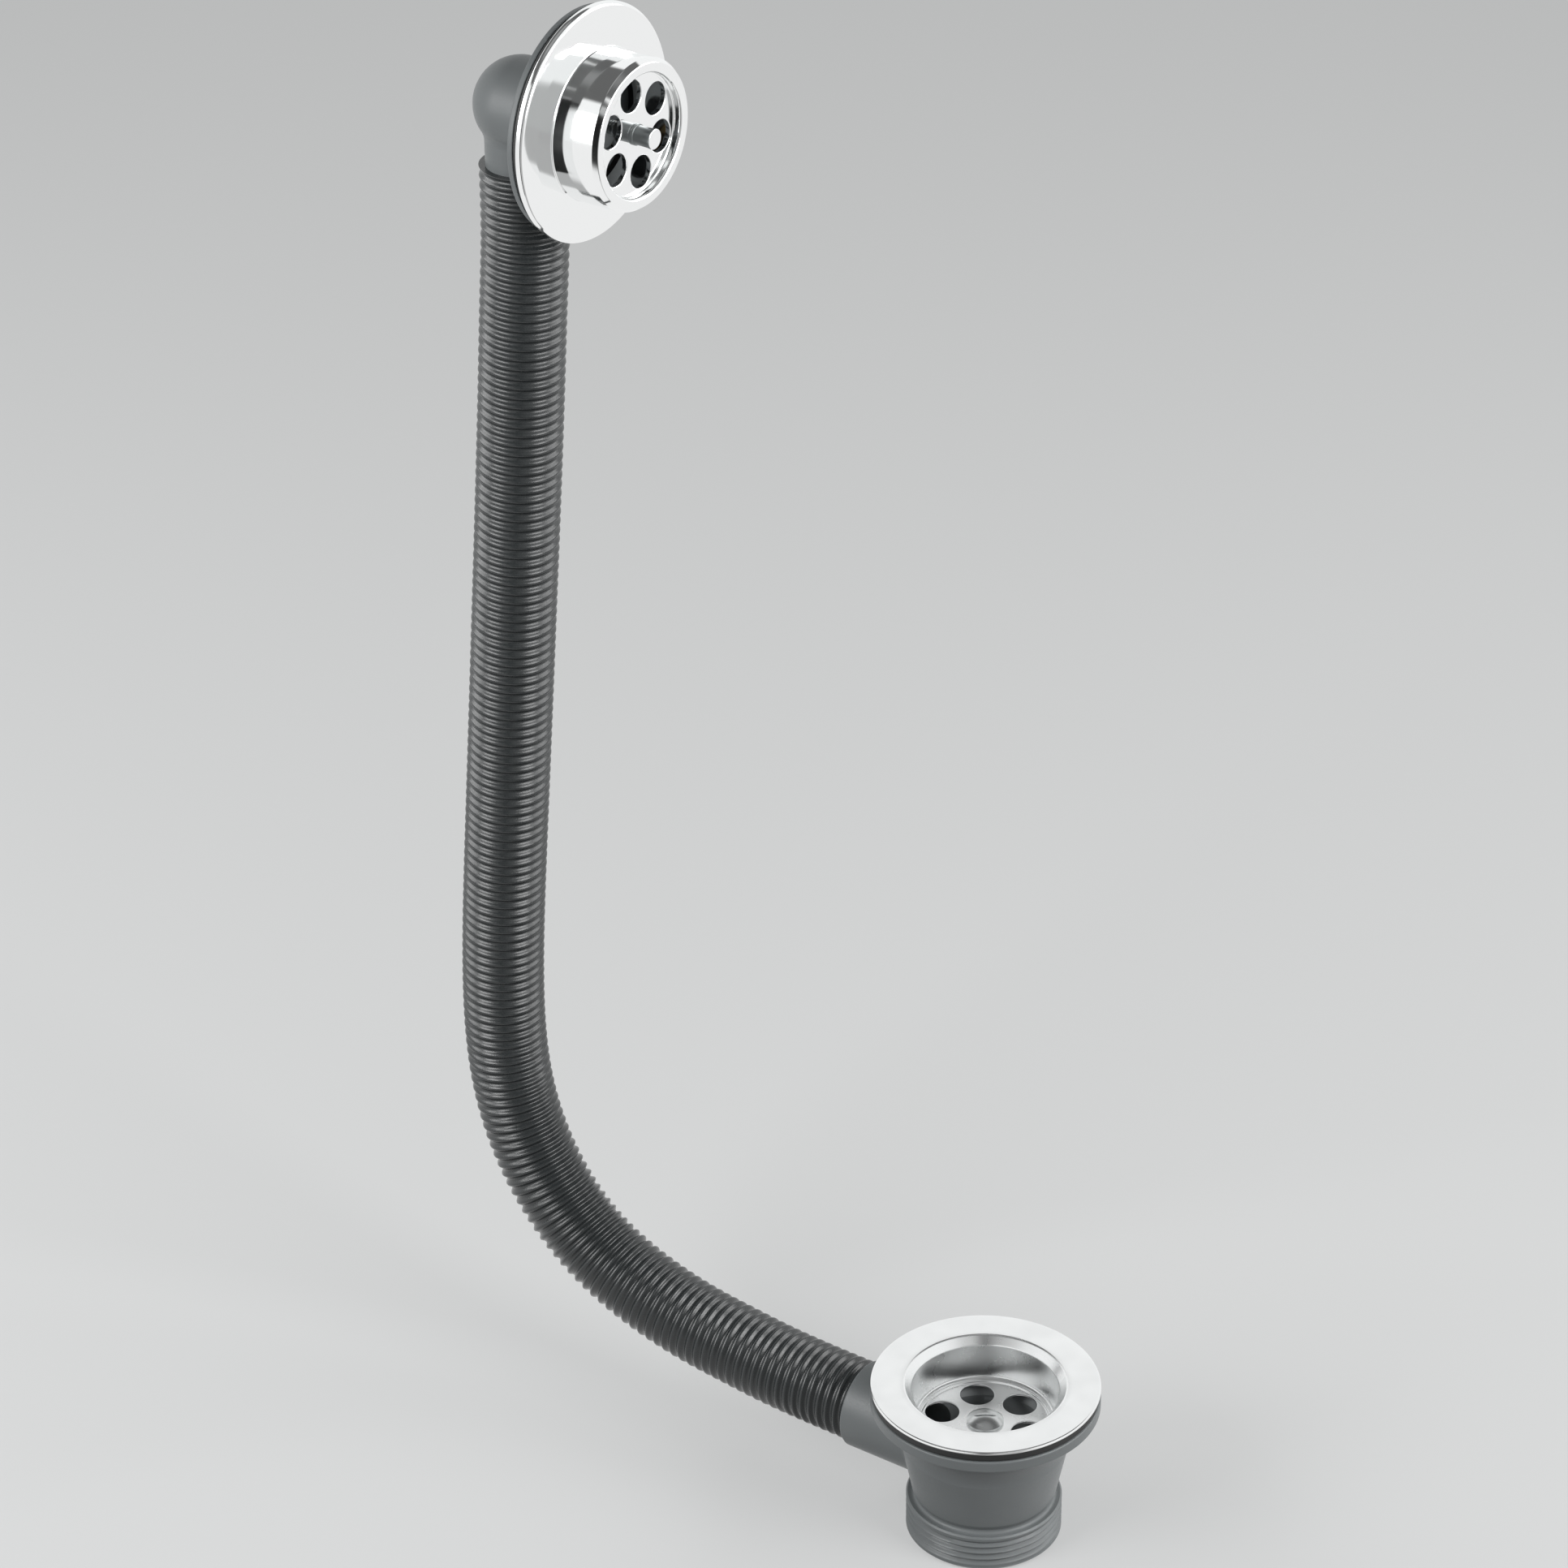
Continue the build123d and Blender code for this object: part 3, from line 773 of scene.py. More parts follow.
def thread(crest_r, depth, pitch, low, high):
    """Outline rows for a threaded length, and the shift that cuts the groove."""
    count = math.ceil((high - low) / pitch * ROWS_PER_PITCH)
    rows = [(crest_r, low + (high - low) * step / count) for step in range(count + 1)]

    def shift(r, h, angle):
        if abs(r - crest_r) > SAME or not low <= h <= high:
            return 0.0
        place = (h / pitch - angle / math.tau) % 1.0
        fade = min(1.0, (h - low) / pitch, (high - h) / pitch)
        return -depth * fade * (0.5 - 0.5 * math.cos(math.tau * place))

    return rows, shift


print("threads have", ROWS_PER_PITCH, "rows for each turn")

# %% [markdown]
# ## The chain stay
# The screw that holds the rose carries a small stud in front: a foot against the face, a slight
# waist and a head, so that a chain can hang from it. It is turned from bar, so it is one lathe
# outline with a fine thread behind. Its side has the darker, duller plate, and only the end of the
# head has the bright one.

# %% Chain stay
STAY_SIDES = 64
STAY_SCREW_R = 2.5
STAY_PITCH = 0.8
STAY_THREAD_DEPTH = 0.45
STAY_TIP_R = 1.7
STAY_TIP = 1.0
STAY_PLAIN = 6.0
STAY_FOOT_R = 3.1
STAY_FOOT = 0.8
STAY_STUD_R = 2.8
STAY_HEAD_R = 2.95
STAY_HEAD = 1.0
POLISHED = 0.1  # depth of the polished end

stay_low, stay_high = box_mm("chain_stay")
stay_rows, stay_shift = thread(
    STAY_SCREW_R, STAY_THREAD_DEPTH, STAY_PITCH, stay_low.x + STAY_TIP, face_x - STAY_PLAIN)
stay_outline = [(0, stay_low.x), (STAY_TIP_R, stay_low.x)] + stay_rows + rounded([
    (STAY_SCREW_R, face_x, 0.0),
    (STAY_FOOT_R, face_x, 0.15),
    (STAY_FOOT_R, face_x + STAY_FOOT, 0.2),
    (STAY_STUD_R, face_x + STAY_FOOT, 0.1),
    (STAY_STUD_R, stay_high.x - STAY_HEAD, 0.0),
    (STAY_HEAD_R, stay_high.x - STAY_HEAD, 0.0),
    (STAY_HEAD_R, stay_high.x, 0.25),
    (0, stay_high.x, 0.0),
])
stay = lathe("chain_stay_turned", stay_outline, STAY_SIDES, stay_shift)
placed(smoothed(stay), lay_forward)
dressed(stay, "chain_stay", stay_chrome)
stay.data.materials.append(bright_chrome)
for face in stay.data.polygons:
    if face.center.x > (stay_high.x - POLISHED) * MM:
        face.material_index = 1

# %% [markdown]
# ## The strainer bowl
# The bowl is pressed from one disc of sheet: a flat flange, a short sloping lip, a steep wall, a
# small step, and the flat strainer. The sheet has the same thickness everywhere, so each corner
# of the underside is the place that lies one sheet away from both sides of the corner above it.

# %% Strainer bowl
SHEET = 0.8
LIP_R = 1.0
MOUTH_R = 24.7
THROAT_R = 22.5
THROAT_DEPTH = 2.5
BASE_R = 21.4
STRAINER_R = 19.6
BOWL_DEPTH = 14.6
STEP = 0.8
BOWL_SCREW_HOLE_R = 3.3
STRAINER_HOLE_R = 5.2
STRAINER_HOLE_EDGE = 0.3
STRAINER_HOLE_COUNT = 6
STRAINER_HOLE_CIRCLE_R = 13.9
STRAINER_HOLE_TURN = math.radians(13)

strainer_z = flange_top - BOWL_DEPTH
ledge_z = strainer_z + STEP
flange_r = bowl_high.x

# Radius, height, and the rounding above and below
bowl_corners = [
    (BOWL_SCREW_HOLE_R, strainer_z, 0.0, 0.0),
    (STRAINER_R, strainer_z, 0.4, 0.4),
    (STRAINER_R, ledge_z, 0.38, 0.3),
    (BASE_R, ledge_z, 0.9, 1.2),
    (THROAT_R, flange_top - THROAT_DEPTH, LIP_R, 0.2),
    (MOUTH_R, flange_top, LIP_R, 0.2),
    (flange_r, flange_top, 0.6, 0.1),
]


def sheet_under(index):
    """The corner of the underside that belongs to a corner between two others."""
    before, corner, after = [Vector(place[:2]) for place in bowl_corners[index - 1:index + 2]]
    first, second = (corner - before).normalized(), (after - corner).normalized()
    downs = Vector((first.y, -first.x)), Vector((second.y, -second.x))
    under = corner + (downs[0] + downs[1]) * SHEET / (1 + downs[0].dot(downs[1]))
    return (under.x, under.y, bowl_corners[index][3])


bowl_outline = [corner[:3] for corner in bowl_corners] + [(flange_r, flange_top - SHEET, 0.1)]
bowl_outline += [sheet_under(index) for index in range(len(bowl_corners) - 2, 0, -1)]
bowl_outline.append((BOWL_SCREW_HOLE_R, strainer_z - SHEET, 0.0))
bowl = lathe("waste_bowl_pressed", rounded(bowl_outline))
strainer_cutter = trumpet(
    "strainer_cutter", STRAINER_HOLE_R, STRAINER_HOLE_EDGE, strainer_z - SHEET, strainer_z)
drilled(
    bowl, strainer_cutter, STRAINER_HOLE_COUNT, STRAINER_HOLE_CIRCLE_R, STRAINER_HOLE_TURN, steel)
smoothed(bowl)
dressed(bowl, "waste_bowl", steel)

# %% [markdown]
# ## The waste screw
# One domed screw in the middle of the strainer pulls the bowl down on its seal. Its slot is a
# straight cut across the dome.

# %% Waste screw
SCREW_SIDES = 96
SCREW_R = 3.0
SCREW_PITCH = 1.0
SCREW_THREAD_DEPTH = 0.5
SCREW_TIP_R = 2.1
SCREW_TIP = 1.0
SCREW_PLAIN = 2.0
SCREW_HEAD_R = 5.65
HEAD_HEIGHT = 2.4
HEAD_CHAMFER = 0.2
SLOT_WIDTH = 0.9
SLOT_DEPTH = 0.6
SLOT_TURN = math.radians(35)
DOME_STEPS = 14

screw_low, screw_high = box_mm("waste_screw")
dome_edge = strainer_z + HEAD_HEIGHT / 3
dome_rise = screw_high.z - dome_edge
dome_r = (SCREW_HEAD_R ** 2 + dome_rise ** 2) / (2 * dome_rise)
screw_rows, screw_shift = thread(
    SCREW_R, SCREW_THREAD_DEPTH, SCREW_PITCH, screw_low.z + SCREW_TIP, strainer_z - SCREW_PLAIN)
dome = []
for index in range(DOME_STEPS + 1):
    r = SCREW_HEAD_R * (1 - index / DOME_STEPS)
    dome.append((r, screw_high.z - dome_r + math.sqrt(dome_r ** 2 - r ** 2)))
screw_outline = [(0, screw_low.z), (SCREW_TIP_R, screw_low.z)] + screw_rows
screw_outline += [
    (SCREW_R, strainer_z),
    (SCREW_HEAD_R - HEAD_CHAMFER, strainer_z),
    (SCREW_HEAD_R, strainer_z + HEAD_CHAMFER),
]
screw = lathe("waste_screw_domed", screw_outline + dome, SCREW_SIDES, screw_shift)


def block(name, size, centre, turn=0.0):
    """A box-shaped tool, turned about its own upright axis."""
    half = Vector(size) / 2
    lower = [(-half.x, -half.y), (half.x, -half.y), (half.x, half.y), (-half.x, half.y)]
    rings = [[(0, 0, -half.z)], [(x, y, -half.z) for x, y in lower]]
    rings += [[(x, y, half.z) for x, y in lower], [(0, 0, half.z)]]
    piece = skin(name, rings)
    return placed(piece, Matrix.Translation(Vector(centre) * MM) @ Matrix.Rotation(turn, 4, "Z"))


slot_size = (3 * SCREW_HEAD_R, SLOT_WIDTH, 2 * SLOT_DEPTH)
combined(screw, block("slot", slot_size, (0, 0, screw_high.z), SLOT_TURN), "DIFFERENCE")
smoothed(screw)
dressed(screw, "waste_screw", screw_chrome)

# %% [markdown]
# ## The seals
# Two flat rubber rings: one under the steel flange and one behind the rose. Clamped rubber
# bulges a little at its edge, so both rings have rounded edges.

# %% Seals
SEAL_EDGE = 0.8
SEAL_BORE_EDGE = 0.2
SEAL_FIT = 0.2
OVERFLOW_SEAL_BORE_R = 20.8

seal_low, seal_high = box_mm("waste_seal")
ring_low, ring_high = box_mm("overflow_seal")


def seal(name, outer, inner, low, high):
    """A flat ring about Z with rounded edges."""
    return smoothed(lathe(name, rounded([
        (inner, low, SEAL_BORE_EDGE),
        (outer, low, SEAL_EDGE),
        (outer, high, SEAL_EDGE),
        (inner, high, SEAL_BORE_EDGE),
    ])))


seal_bore_r = MOUTH_R + LIP_R + SEAL_FIT
waste_seal = seal("waste_seal_ring", seal_high.x, seal_bore_r, seal_low.z, seal_high.z)
dressed(waste_seal, "waste_seal", black_rubber)
overflow_seal = seal("overflow_seal_ring", ring_high.y, OVERFLOW_SEAL_BORE_R, ring_low.x, ring_high.x)
placed(overflow_seal, lay_forward)
dressed(overflow_seal, "overflow_seal", black_rubber)

# %% [markdown]
# ## A branch that flares into its wall
# Where a moulded tube meets a round body, the mould rounds the inner corner. A boolean gives
# only a hard seam there, so the tube is made with a flare of its own: each of its lines runs
# straight until just before it meets the wall, and then bends over into the wall's surface. The
# bend is a Bezier curve whose middle point is where the line would have hit.

# %% Flared branch helper
BRANCH_SIDES = 128
FLARE_STEPS = 8
SINK = 1.6


def flared_branch(name, profile, radius, meet, flare, place):
    """A tube with its own root rounding.

    profile lists (distance, radius) from the tip inwards, meet gives the distance at which a line
    of a given radius and angle hits the wall, flare the rounding at an angle, and place turns
    (distance, radius, angle) into a point.
    """
    angles = [math.tau * step / BRANCH_SIDES for step in range(BRANCH_SIDES)]
    rings = [[place(profile[0][0], 0, 0)]]
    for distance, r in profile:
        rings.append([place(distance, r, angle) for angle in angles])
    for index in range(FLARE_STEPS + 1):
        t = index / FLARE_STEPS
        ring = []
        for angle in angles:
            size = flare(angle)
            corner = Vector(place(meet(radius, angle), radius, angle))
            start = Vector(place(meet(radius, angle) + size, radius, angle))
            finish = Vector(place(meet(radius + size, angle), radius + size, angle))
            ring.append(start * (1 - t) ** 2 + corner * 2 * t * (1 - t) + finish * t ** 2)
        rings.append(ring)
    rings.append([place(meet(radius + flare(a), a) - SINK, radius + flare(a), a) for a in angles])
    rings.append([place(meet(radius, angles[0]) - 2 * SINK, 0, 0)])
    return skin(name, rings)


print("branches have", BRANCH_SIDES, "sides and sink", SINK, "mm into their wall")

# %% [markdown]
# ## The waste body
# The body is one moulding in grey polypropylene: a flange under the seal, a bell that narrows
# to a neck, a tail with a coarse pipe thread, and a branch for the hose. It is built as it would
# be cut from solid: the outside first, then the branch, and last the water way.

# %% Waste body
TAIL_R = 23.9
TAIL_PITCH = 2.309
TAIL_LENGTH = 12.3
TAIL_THREAD_DEPTH = 1.1
TAIL_CHAMFER = 0.9
TAIL_RUN_OUT = 0.5
RELIEF_R = 21.4
RELIEF_HEIGHT = 1.4
RELIEF_RUN = 1.6
NECK_LOW_R = 21.9
NECK_HIGH_R = 25.6
BODY_EDGE = 3.8
BELL_HEIGHT = 13.6
BELL_STEPS = 24
BELL_STOP = 0.7  # the bell's last points leave room for the flange's edge

body_top = body_high.z
body_r = body_high.x
bell_high = body_top - BODY_EDGE
bell_low = bell_high - BELL_HEIGHT
neck_low = TAIL_LENGTH + RELIEF_HEIGHT
bell_run = body_r - NECK_HIGH_R
bell_arc = (bell_run ** 2 + BELL_HEIGHT ** 2) / (2 * bell_run)


def bell_r(z):
    """Radius of the body's outside between the tail and the flange."""
    if z <= bell_low:
        return NECK_LOW_R + (NECK_HIGH_R - NECK_LOW_R) * (z - neck_low) / (bell_low - neck_low)
    return NECK_HIGH_R + bell_arc - math.sqrt(bell_arc ** 2 - (min(z, bell_high) - bell_low) ** 2)


tail_rows, tail_shift = thread(
    TAIL_R, TAIL_THREAD_DEPTH, TAIL_PITCH, TAIL_CHAMFER, TAIL_LENGTH - TAIL_RUN_OUT)
body_outline = [(0, 0), (TAIL_R - TAIL_CHAMFER, 0)] + tail_rows
body_outline.append((TAIL_R - TAIL_RUN_OUT, TAIL_LENGTH))
# A relief groove parts the thread from the neck and runs out into it. The last two corners of this
# list, and the last one of the flange's, only give directions to the corners beside them.
neck_start = neck_low + RELIEF_RUN
body_outline += rounded([
    (RELIEF_R, TAIL_LENGTH, 1.1),
    (RELIEF_R, neck_low, 0.6),
    (bell_r(neck_start), neck_start, 1.0),
    (NECK_HIGH_R, bell_low, 0.0),
    (TAIL_R - TAIL_RUN_OUT, TAIL_LENGTH, 0.0),
])[:-2]
for index in range(BELL_STEPS + 1):
    z = bell_low + (BELL_HEIGHT - BELL_STOP) * index / BELL_STEPS
    body_outline.append((bell_r(z), z))
body_outline += rounded([
    (body_r, bell_high, 0.5),
    (body_r, body_top, 0.6),
    (0, body_top, 0.0),
    (0, body_top - 1, 0.0),
])[:-1]
body = lathe("waste_body_moulded", body_outline, ROUND_SEGMENTS, tail_shift)
print("body outline:", len(body_outline), "points")

# %% [markdown]
# The branch leaves the bell towards the hose and ends in a thinner spigot, which the hose is pushed
# over. Its root is rounded more above than below.

# %% Hose branch
BRANCH_R = 13.9
BRANCH_EDGE = 0.7
ROOT_MEAN = 1.3
ROOT_SWING = 1.0
SPIGOT_R = 10.9
SPIGOT_LENGTH = 18.0
SPIGOT_CHAMFER = 1.2
SPIGOT_CHAMFER_IN = 0.7


def branch_meet(r, angle):
    """Distance from the body's axis at which a line of the branch hits the bell."""
    z = branch_z + r * math.sin(angle)
    return math.sqrt(bell_r(z) ** 2 - (r * math.cos(angle)) ** 2)


def branch_flare(angle):
    """Rounding of the root, largest at the top."""
    return ROOT_MEAN + ROOT_SWING * math.sin(angle)


def branch_place(distance, r, angle):
    """A point of the branch, which runs along -X."""
    return (-distance, r * math.cos(angle), branch_z + r * math.sin(angle))


spigot_tip = BRANCH_REACH + SPIGOT_LENGTH
branch_profile = [
    (spigot_tip, SPIGOT_R - SPIGOT_CHAMFER_IN),
    (spigot_tip - SPIGOT_CHAMFER, SPIGOT_R),
    (BRANCH_REACH, SPIGOT_R),
    # Three points round the branch's edge
    (BRANCH_REACH, BRANCH_R - BRANCH_EDGE),
    (BRANCH_REACH - 0.2, BRANCH_R - 0.3),
    (BRANCH_REACH - BRANCH_EDGE, BRANCH_R),
]
branch = flared_branch("branch", branch_profile, BRANCH_R, branch_meet, branch_flare, branch_place)
combined(body, branch, "UNION")
print("body with its branch:", len(body.data.polygons), "faces")

# %% [markdown]
# A boss stands in the middle of the water way on three webs and takes the screw. The mould's core
# is made first: a plain plug with the boss and its webs cut out of it. Cutting that core out of
# the body leaves the boss standing.

# %% Boss and webs of the waste body
BORE_SIDES = 96
BORE_CLEAR = 5.0
TAIL_BORE_R = 20.0
SPIGOT_BORE_R = 8.6
BOWL_FIT = 1.0
BOSS_R = 7.0
BOSS_ROUND = 0.4
BOSS_LENGTH = 15.0
BOSS_GAP = 1.0
WEB_COUNT = 3
WEB_THICKNESS = 2.4
WEB_HEIGHT = 10.0
FUSE = 0.4
INSERT_WALL = 1.3
INSERT_FIT = 0.1
SCREW_FIT = 0.1
SHOULDER = 0.9


def spider(boss_r, low, high, web_reach, web_thickness, web_high):
    """A boss with webs round it, on the Z axis."""
    boss = lathe("boss", rounded([
        (0, low, 0.0), (boss_r, low, BOSS_ROUND), (boss_r, high, BOSS_ROUND), (0, high, 0.0),
    ]), BORE_SIDES)
    size = (web_reach, web_thickness, web_high - low)
    for index in range(WEB_COUNT):
        angle = math.tau * index / WEB_COUNT
        centre = (math.cos(angle) * web_reach / 2, math.sin(angle) * web_reach / 2, (low + web_high) / 2)
        combined(boss, block("web", size, centre, angle), "UNION")
    return boss


seat_mouth_r = MOUTH_R + SHEET + BOWL_FIT
seat_base_r = BASE_R + SHEET + BOWL_FIT
seat_low = strainer_z - SHEET - BOWL_FIT
hollow = lathe("hollow", [
    (0, -PAST),
    (TAIL_BORE_R, -PAST),
    (TAIL_BORE_R, seat_low - seat_base_r + TAIL_BORE_R),
    (seat_base_r, seat_low),
    (seat_mouth_r, body_top),
    (seat_mouth_r, body_top + PAST),
    (0, body_top + PAST),
])
boss_top = strainer_z - SHEET - BOSS_GAP - SHOULDER
boss_low = boss_top - BOSS_LENGTH
waste_spider = spider(BOSS_R, boss_low, boss_top, TAIL_BORE_R + FUSE, WEB_THICKNESS, boss_low + WEB_HEIGHT)
combined(hollow, waste_spider, "DIFFERENCE")
combined(body, hollow, "DIFFERENCE")
lay_back = Matrix.Translation((0, 0, branch_z * MM)) @ Matrix.Rotation(-math.pi / 2, 4, "Y")
branch_bore = disc("branch_bore", SPIGOT_BORE_R, BOSS_R + BORE_CLEAR, spigot_tip + PAST, BORE_SIDES)
combined(body, placed(branch_bore, lay_back), "DIFFERENCE")
waste_hole_r = SCREW_R + SCREW_FIT + INSERT_WALL + INSERT_FIT
insert_hole = disc("insert_hole", waste_hole_r, boss_low - PAST, boss_top + PAST, HOLE_SIDES)
combined(body, insert_hole, "DIFFERENCE")
smoothed(body)
dressed(body, "waste_body", grey_polypropylene)

# %% [markdown]
# ## The overflow elbow
# The elbow turns the water from the rose down into the hose. Outside it is a tube with a round
# end, which is one lathe outline, a thin flange with a rounded root, and a spigot that flares
# into the round end. Inside, a smaller spider takes the chain stay's screw.

# %% Overflow elbow
ELBOW_BORE_R = 11.6
ELBOW_FLANGE = 1.8
ELBOW_ROOT = 2.4
ELBOW_BOSS_R = 5.6
ELBOW_BOSS_LENGTH = 13.0
ELBOW_BOSS_PROUD = 1.4
ELBOW_WEB_THICKNESS = 1.8
SPIGOT_ROOT = 1.9
BALL_STEPS = 20


def round_end(radius):
    """Outline of the elbow's closed end, from its axis out to a radius."""
    angles = [math.pi / 2 * index / BALL_STEPS for index in range(BALL_STEPS + 1)]
    return [(radius * math.sin(angle), elbow_x - radius * math.cos(angle)) for angle in angles]


elbow_flange_r = elbow_high.y
elbow_face = ring_low.x
# The last corner only gives the tube's direction
elbow_outline = round_end(ELBOW_R) + rounded([
    (ELBOW_R, elbow_face - ELBOW_FLANGE, ELBOW_ROOT),
    (elbow_flange_r, elbow_face - ELBOW_FLANGE, 0.5),
    (elbow_flange_r, elbow_face, 0.3),
    (0, elbow_face, 0.0),
    (ELBOW_R, elbow_x, 0.0),
])[:-1]
elbow = placed(lathe("overflow_elbow_moulded", elbow_outline), lay_forward)


def spigot_meet(r, angle):
    """Distance below the rose's axis at which a line of the spigot hits the tube or its round end."""
    across = r * math.sin(angle)
    ahead = max(0.0, -r * math.cos(angle))
    return math.sqrt(ELBOW_R ** 2 - across ** 2 - ahead ** 2)


def spigot_flare(angle):
    """Rounding of the root, the same all round."""
    return SPIGOT_ROOT


def spigot_place(distance, r, angle):
    """A point of the spigot, which runs straight down."""
    return (elbow_x + r * math.cos(angle), r * math.sin(angle), overflow_z - distance)


elbow_tip = HOSE_TOP_DROP + SPIGOT_LENGTH
spigot_profile = [(elbow_tip, SPIGOT_R - SPIGOT_CHAMFER_IN), (elbow_tip - SPIGOT_CHAMFER, SPIGOT_R)]
spigot = flared_branch("spigot", spigot_profile, SPIGOT_R, spigot_meet, spigot_flare, spigot_place)
combined(elbow, spigot, "UNION")

bore_outline = round_end(ELBOW_BORE_R) + [(ELBOW_BORE_R, elbow_face + PAST), (0, elbow_face + PAST)]
elbow_bore = lathe("elbow_bore", bore_outline, BORE_SIDES)
combined(elbow, placed(elbow_bore, lay_forward), "DIFFERENCE")
down_bore = disc("spigot_bore", SPIGOT_BORE_R, overflow_z - elbow_tip - PAST, overflow_z, BORE_SIDES)
combined(elbow, placed(down_bore, Matrix.Translation((elbow_x * MM, 0, 0))), "DIFFERENCE")

boss_front = elbow_face + ELBOW_BOSS_PROUD
boss_back = boss_front - ELBOW_BOSS_LENGTH
elbow_spider = spider(
    ELBOW_BOSS_R, boss_back, boss_front, ELBOW_BORE_R + FUSE, ELBOW_WEB_THICKNESS, elbow_face)
combined(elbow, placed(elbow_spider, lay_forward), "UNION")
stay_hole_r = STAY_SCREW_R + SCREW_FIT + INSERT_WALL + INSERT_FIT
stay_hole = disc("stay_hole", stay_hole_r, boss_back - PAST, boss_front + PAST, HOLE_SIDES)
combined(elbow, placed(stay_hole, lay_forward), "DIFFERENCE")
smoothed(elbow)
dressed(elbow, "overflow_elbow", grey_polypropylene)

# %% [markdown]
# ## The brass inserts
# Two small shouldered sleeves sit in the bosses and take the screws. Their solids already have
# the right shape, so they only get their metal.

# %% Brass inserts
for name in ("waste_insert", "overflow_insert"):
    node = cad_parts[name]
    node.data.materials.clear()
    node.data.materials.append(brass)
print("brass on 2 inserts")

# %% [markdown]
# ## Floor and light
# Bright metal shows only what surrounds it, so the surroundings are built like a photographer's
# tent: pale walls and a pale floor all round, an open top with a dim ceiling, and one dark gap on
# the viewer's side where the camera looks in. Gap and ceiling draw the dark bands that make chrome
# read as chrome.
#
# The tent is drawn by direction. The dot product of a level direction with a heading is the cosine
# of the angle between them, so a sector round the heading is a soft step between two cosines.

# %% Tent helpers
GAP_HEADING = math.radians(-58.5)
FRONT_HEADING = math.radians(-38)
FRONT_EDGE = math.radians(30)
FRONT_CORE = math.radians(14)


def level(tree, vector):
    """A direction with its height taken out, of length 1."""
    flat = add(tree, "ShaderNodeVectorMath", {0: vector, 1: (1, 1, 0)}, operation="MULTIPLY")
    return add(tree, "ShaderNodeVectorMath", {0: flat.outputs[0]}, operation="NORMALIZE").outputs[0]


def sector(tree, direction, heading, edge, core, outside, inside):
    """A brightness that changes softly between two angles from a heading."""
    aim = (math.cos(heading), math.sin(heading), 0)
    facing = add(tree, "ShaderNodeVectorMath", {0: direction, 1: aim}, operation="DOT_PRODUCT")
    return add(tree, "ShaderNodeMapRange", {
        "Value": facing.outputs["Value"], "From Min": math.cos(edge), "From Max": math.cos(core),
        "To Min": outside, "To Max": inside,
    }, interpolation_type="SMOOTHSTEP").outputs["Result"]


print(f"gap at {math.degrees(GAP_HEADING):.1f} degrees from +X")

# %% [markdown]
# The floor answers three kinds of ray in three ways. The eye sees pale paint that keeps the shadow,
# mixed with a glow. Reflections see the tent's floor, with the gap's shade from a step away from
# the object. All other light from it is weak and even, so that the lamps shape the plastics.

# %% Floor
FLOOR_HALF = 4.0
FLOOR_GAP_EDGE = math.radians(9)
FLOOR_GAP_CORE = math.radians(6.5)
FLOOR_GAP_SHADE = 0.97
GAP_FOOT = (-70 * MM, 0, 0)
SHADE_FROM = 320 * MM
SHADE_TO = 350 * MM
FLOOR_LIGHT = 0.95
FLOOR_FRONT_LIGHT = 0.48
WEAK_FLOOR = 0.25
GLOW_SHARE = 0.5

floor_mesh = bpy.data.meshes.new("floor")
corners = [(-1, -1), (1, -1), (1, 1), (-1, 1)]
floor_mesh.from_pydata([(x * FLOOR_HALF, y * FLOOR_HALF, 0) for x, y in corners], [], [(0, 1, 2, 3)])
floor = new_object("floor", floor_mesh)


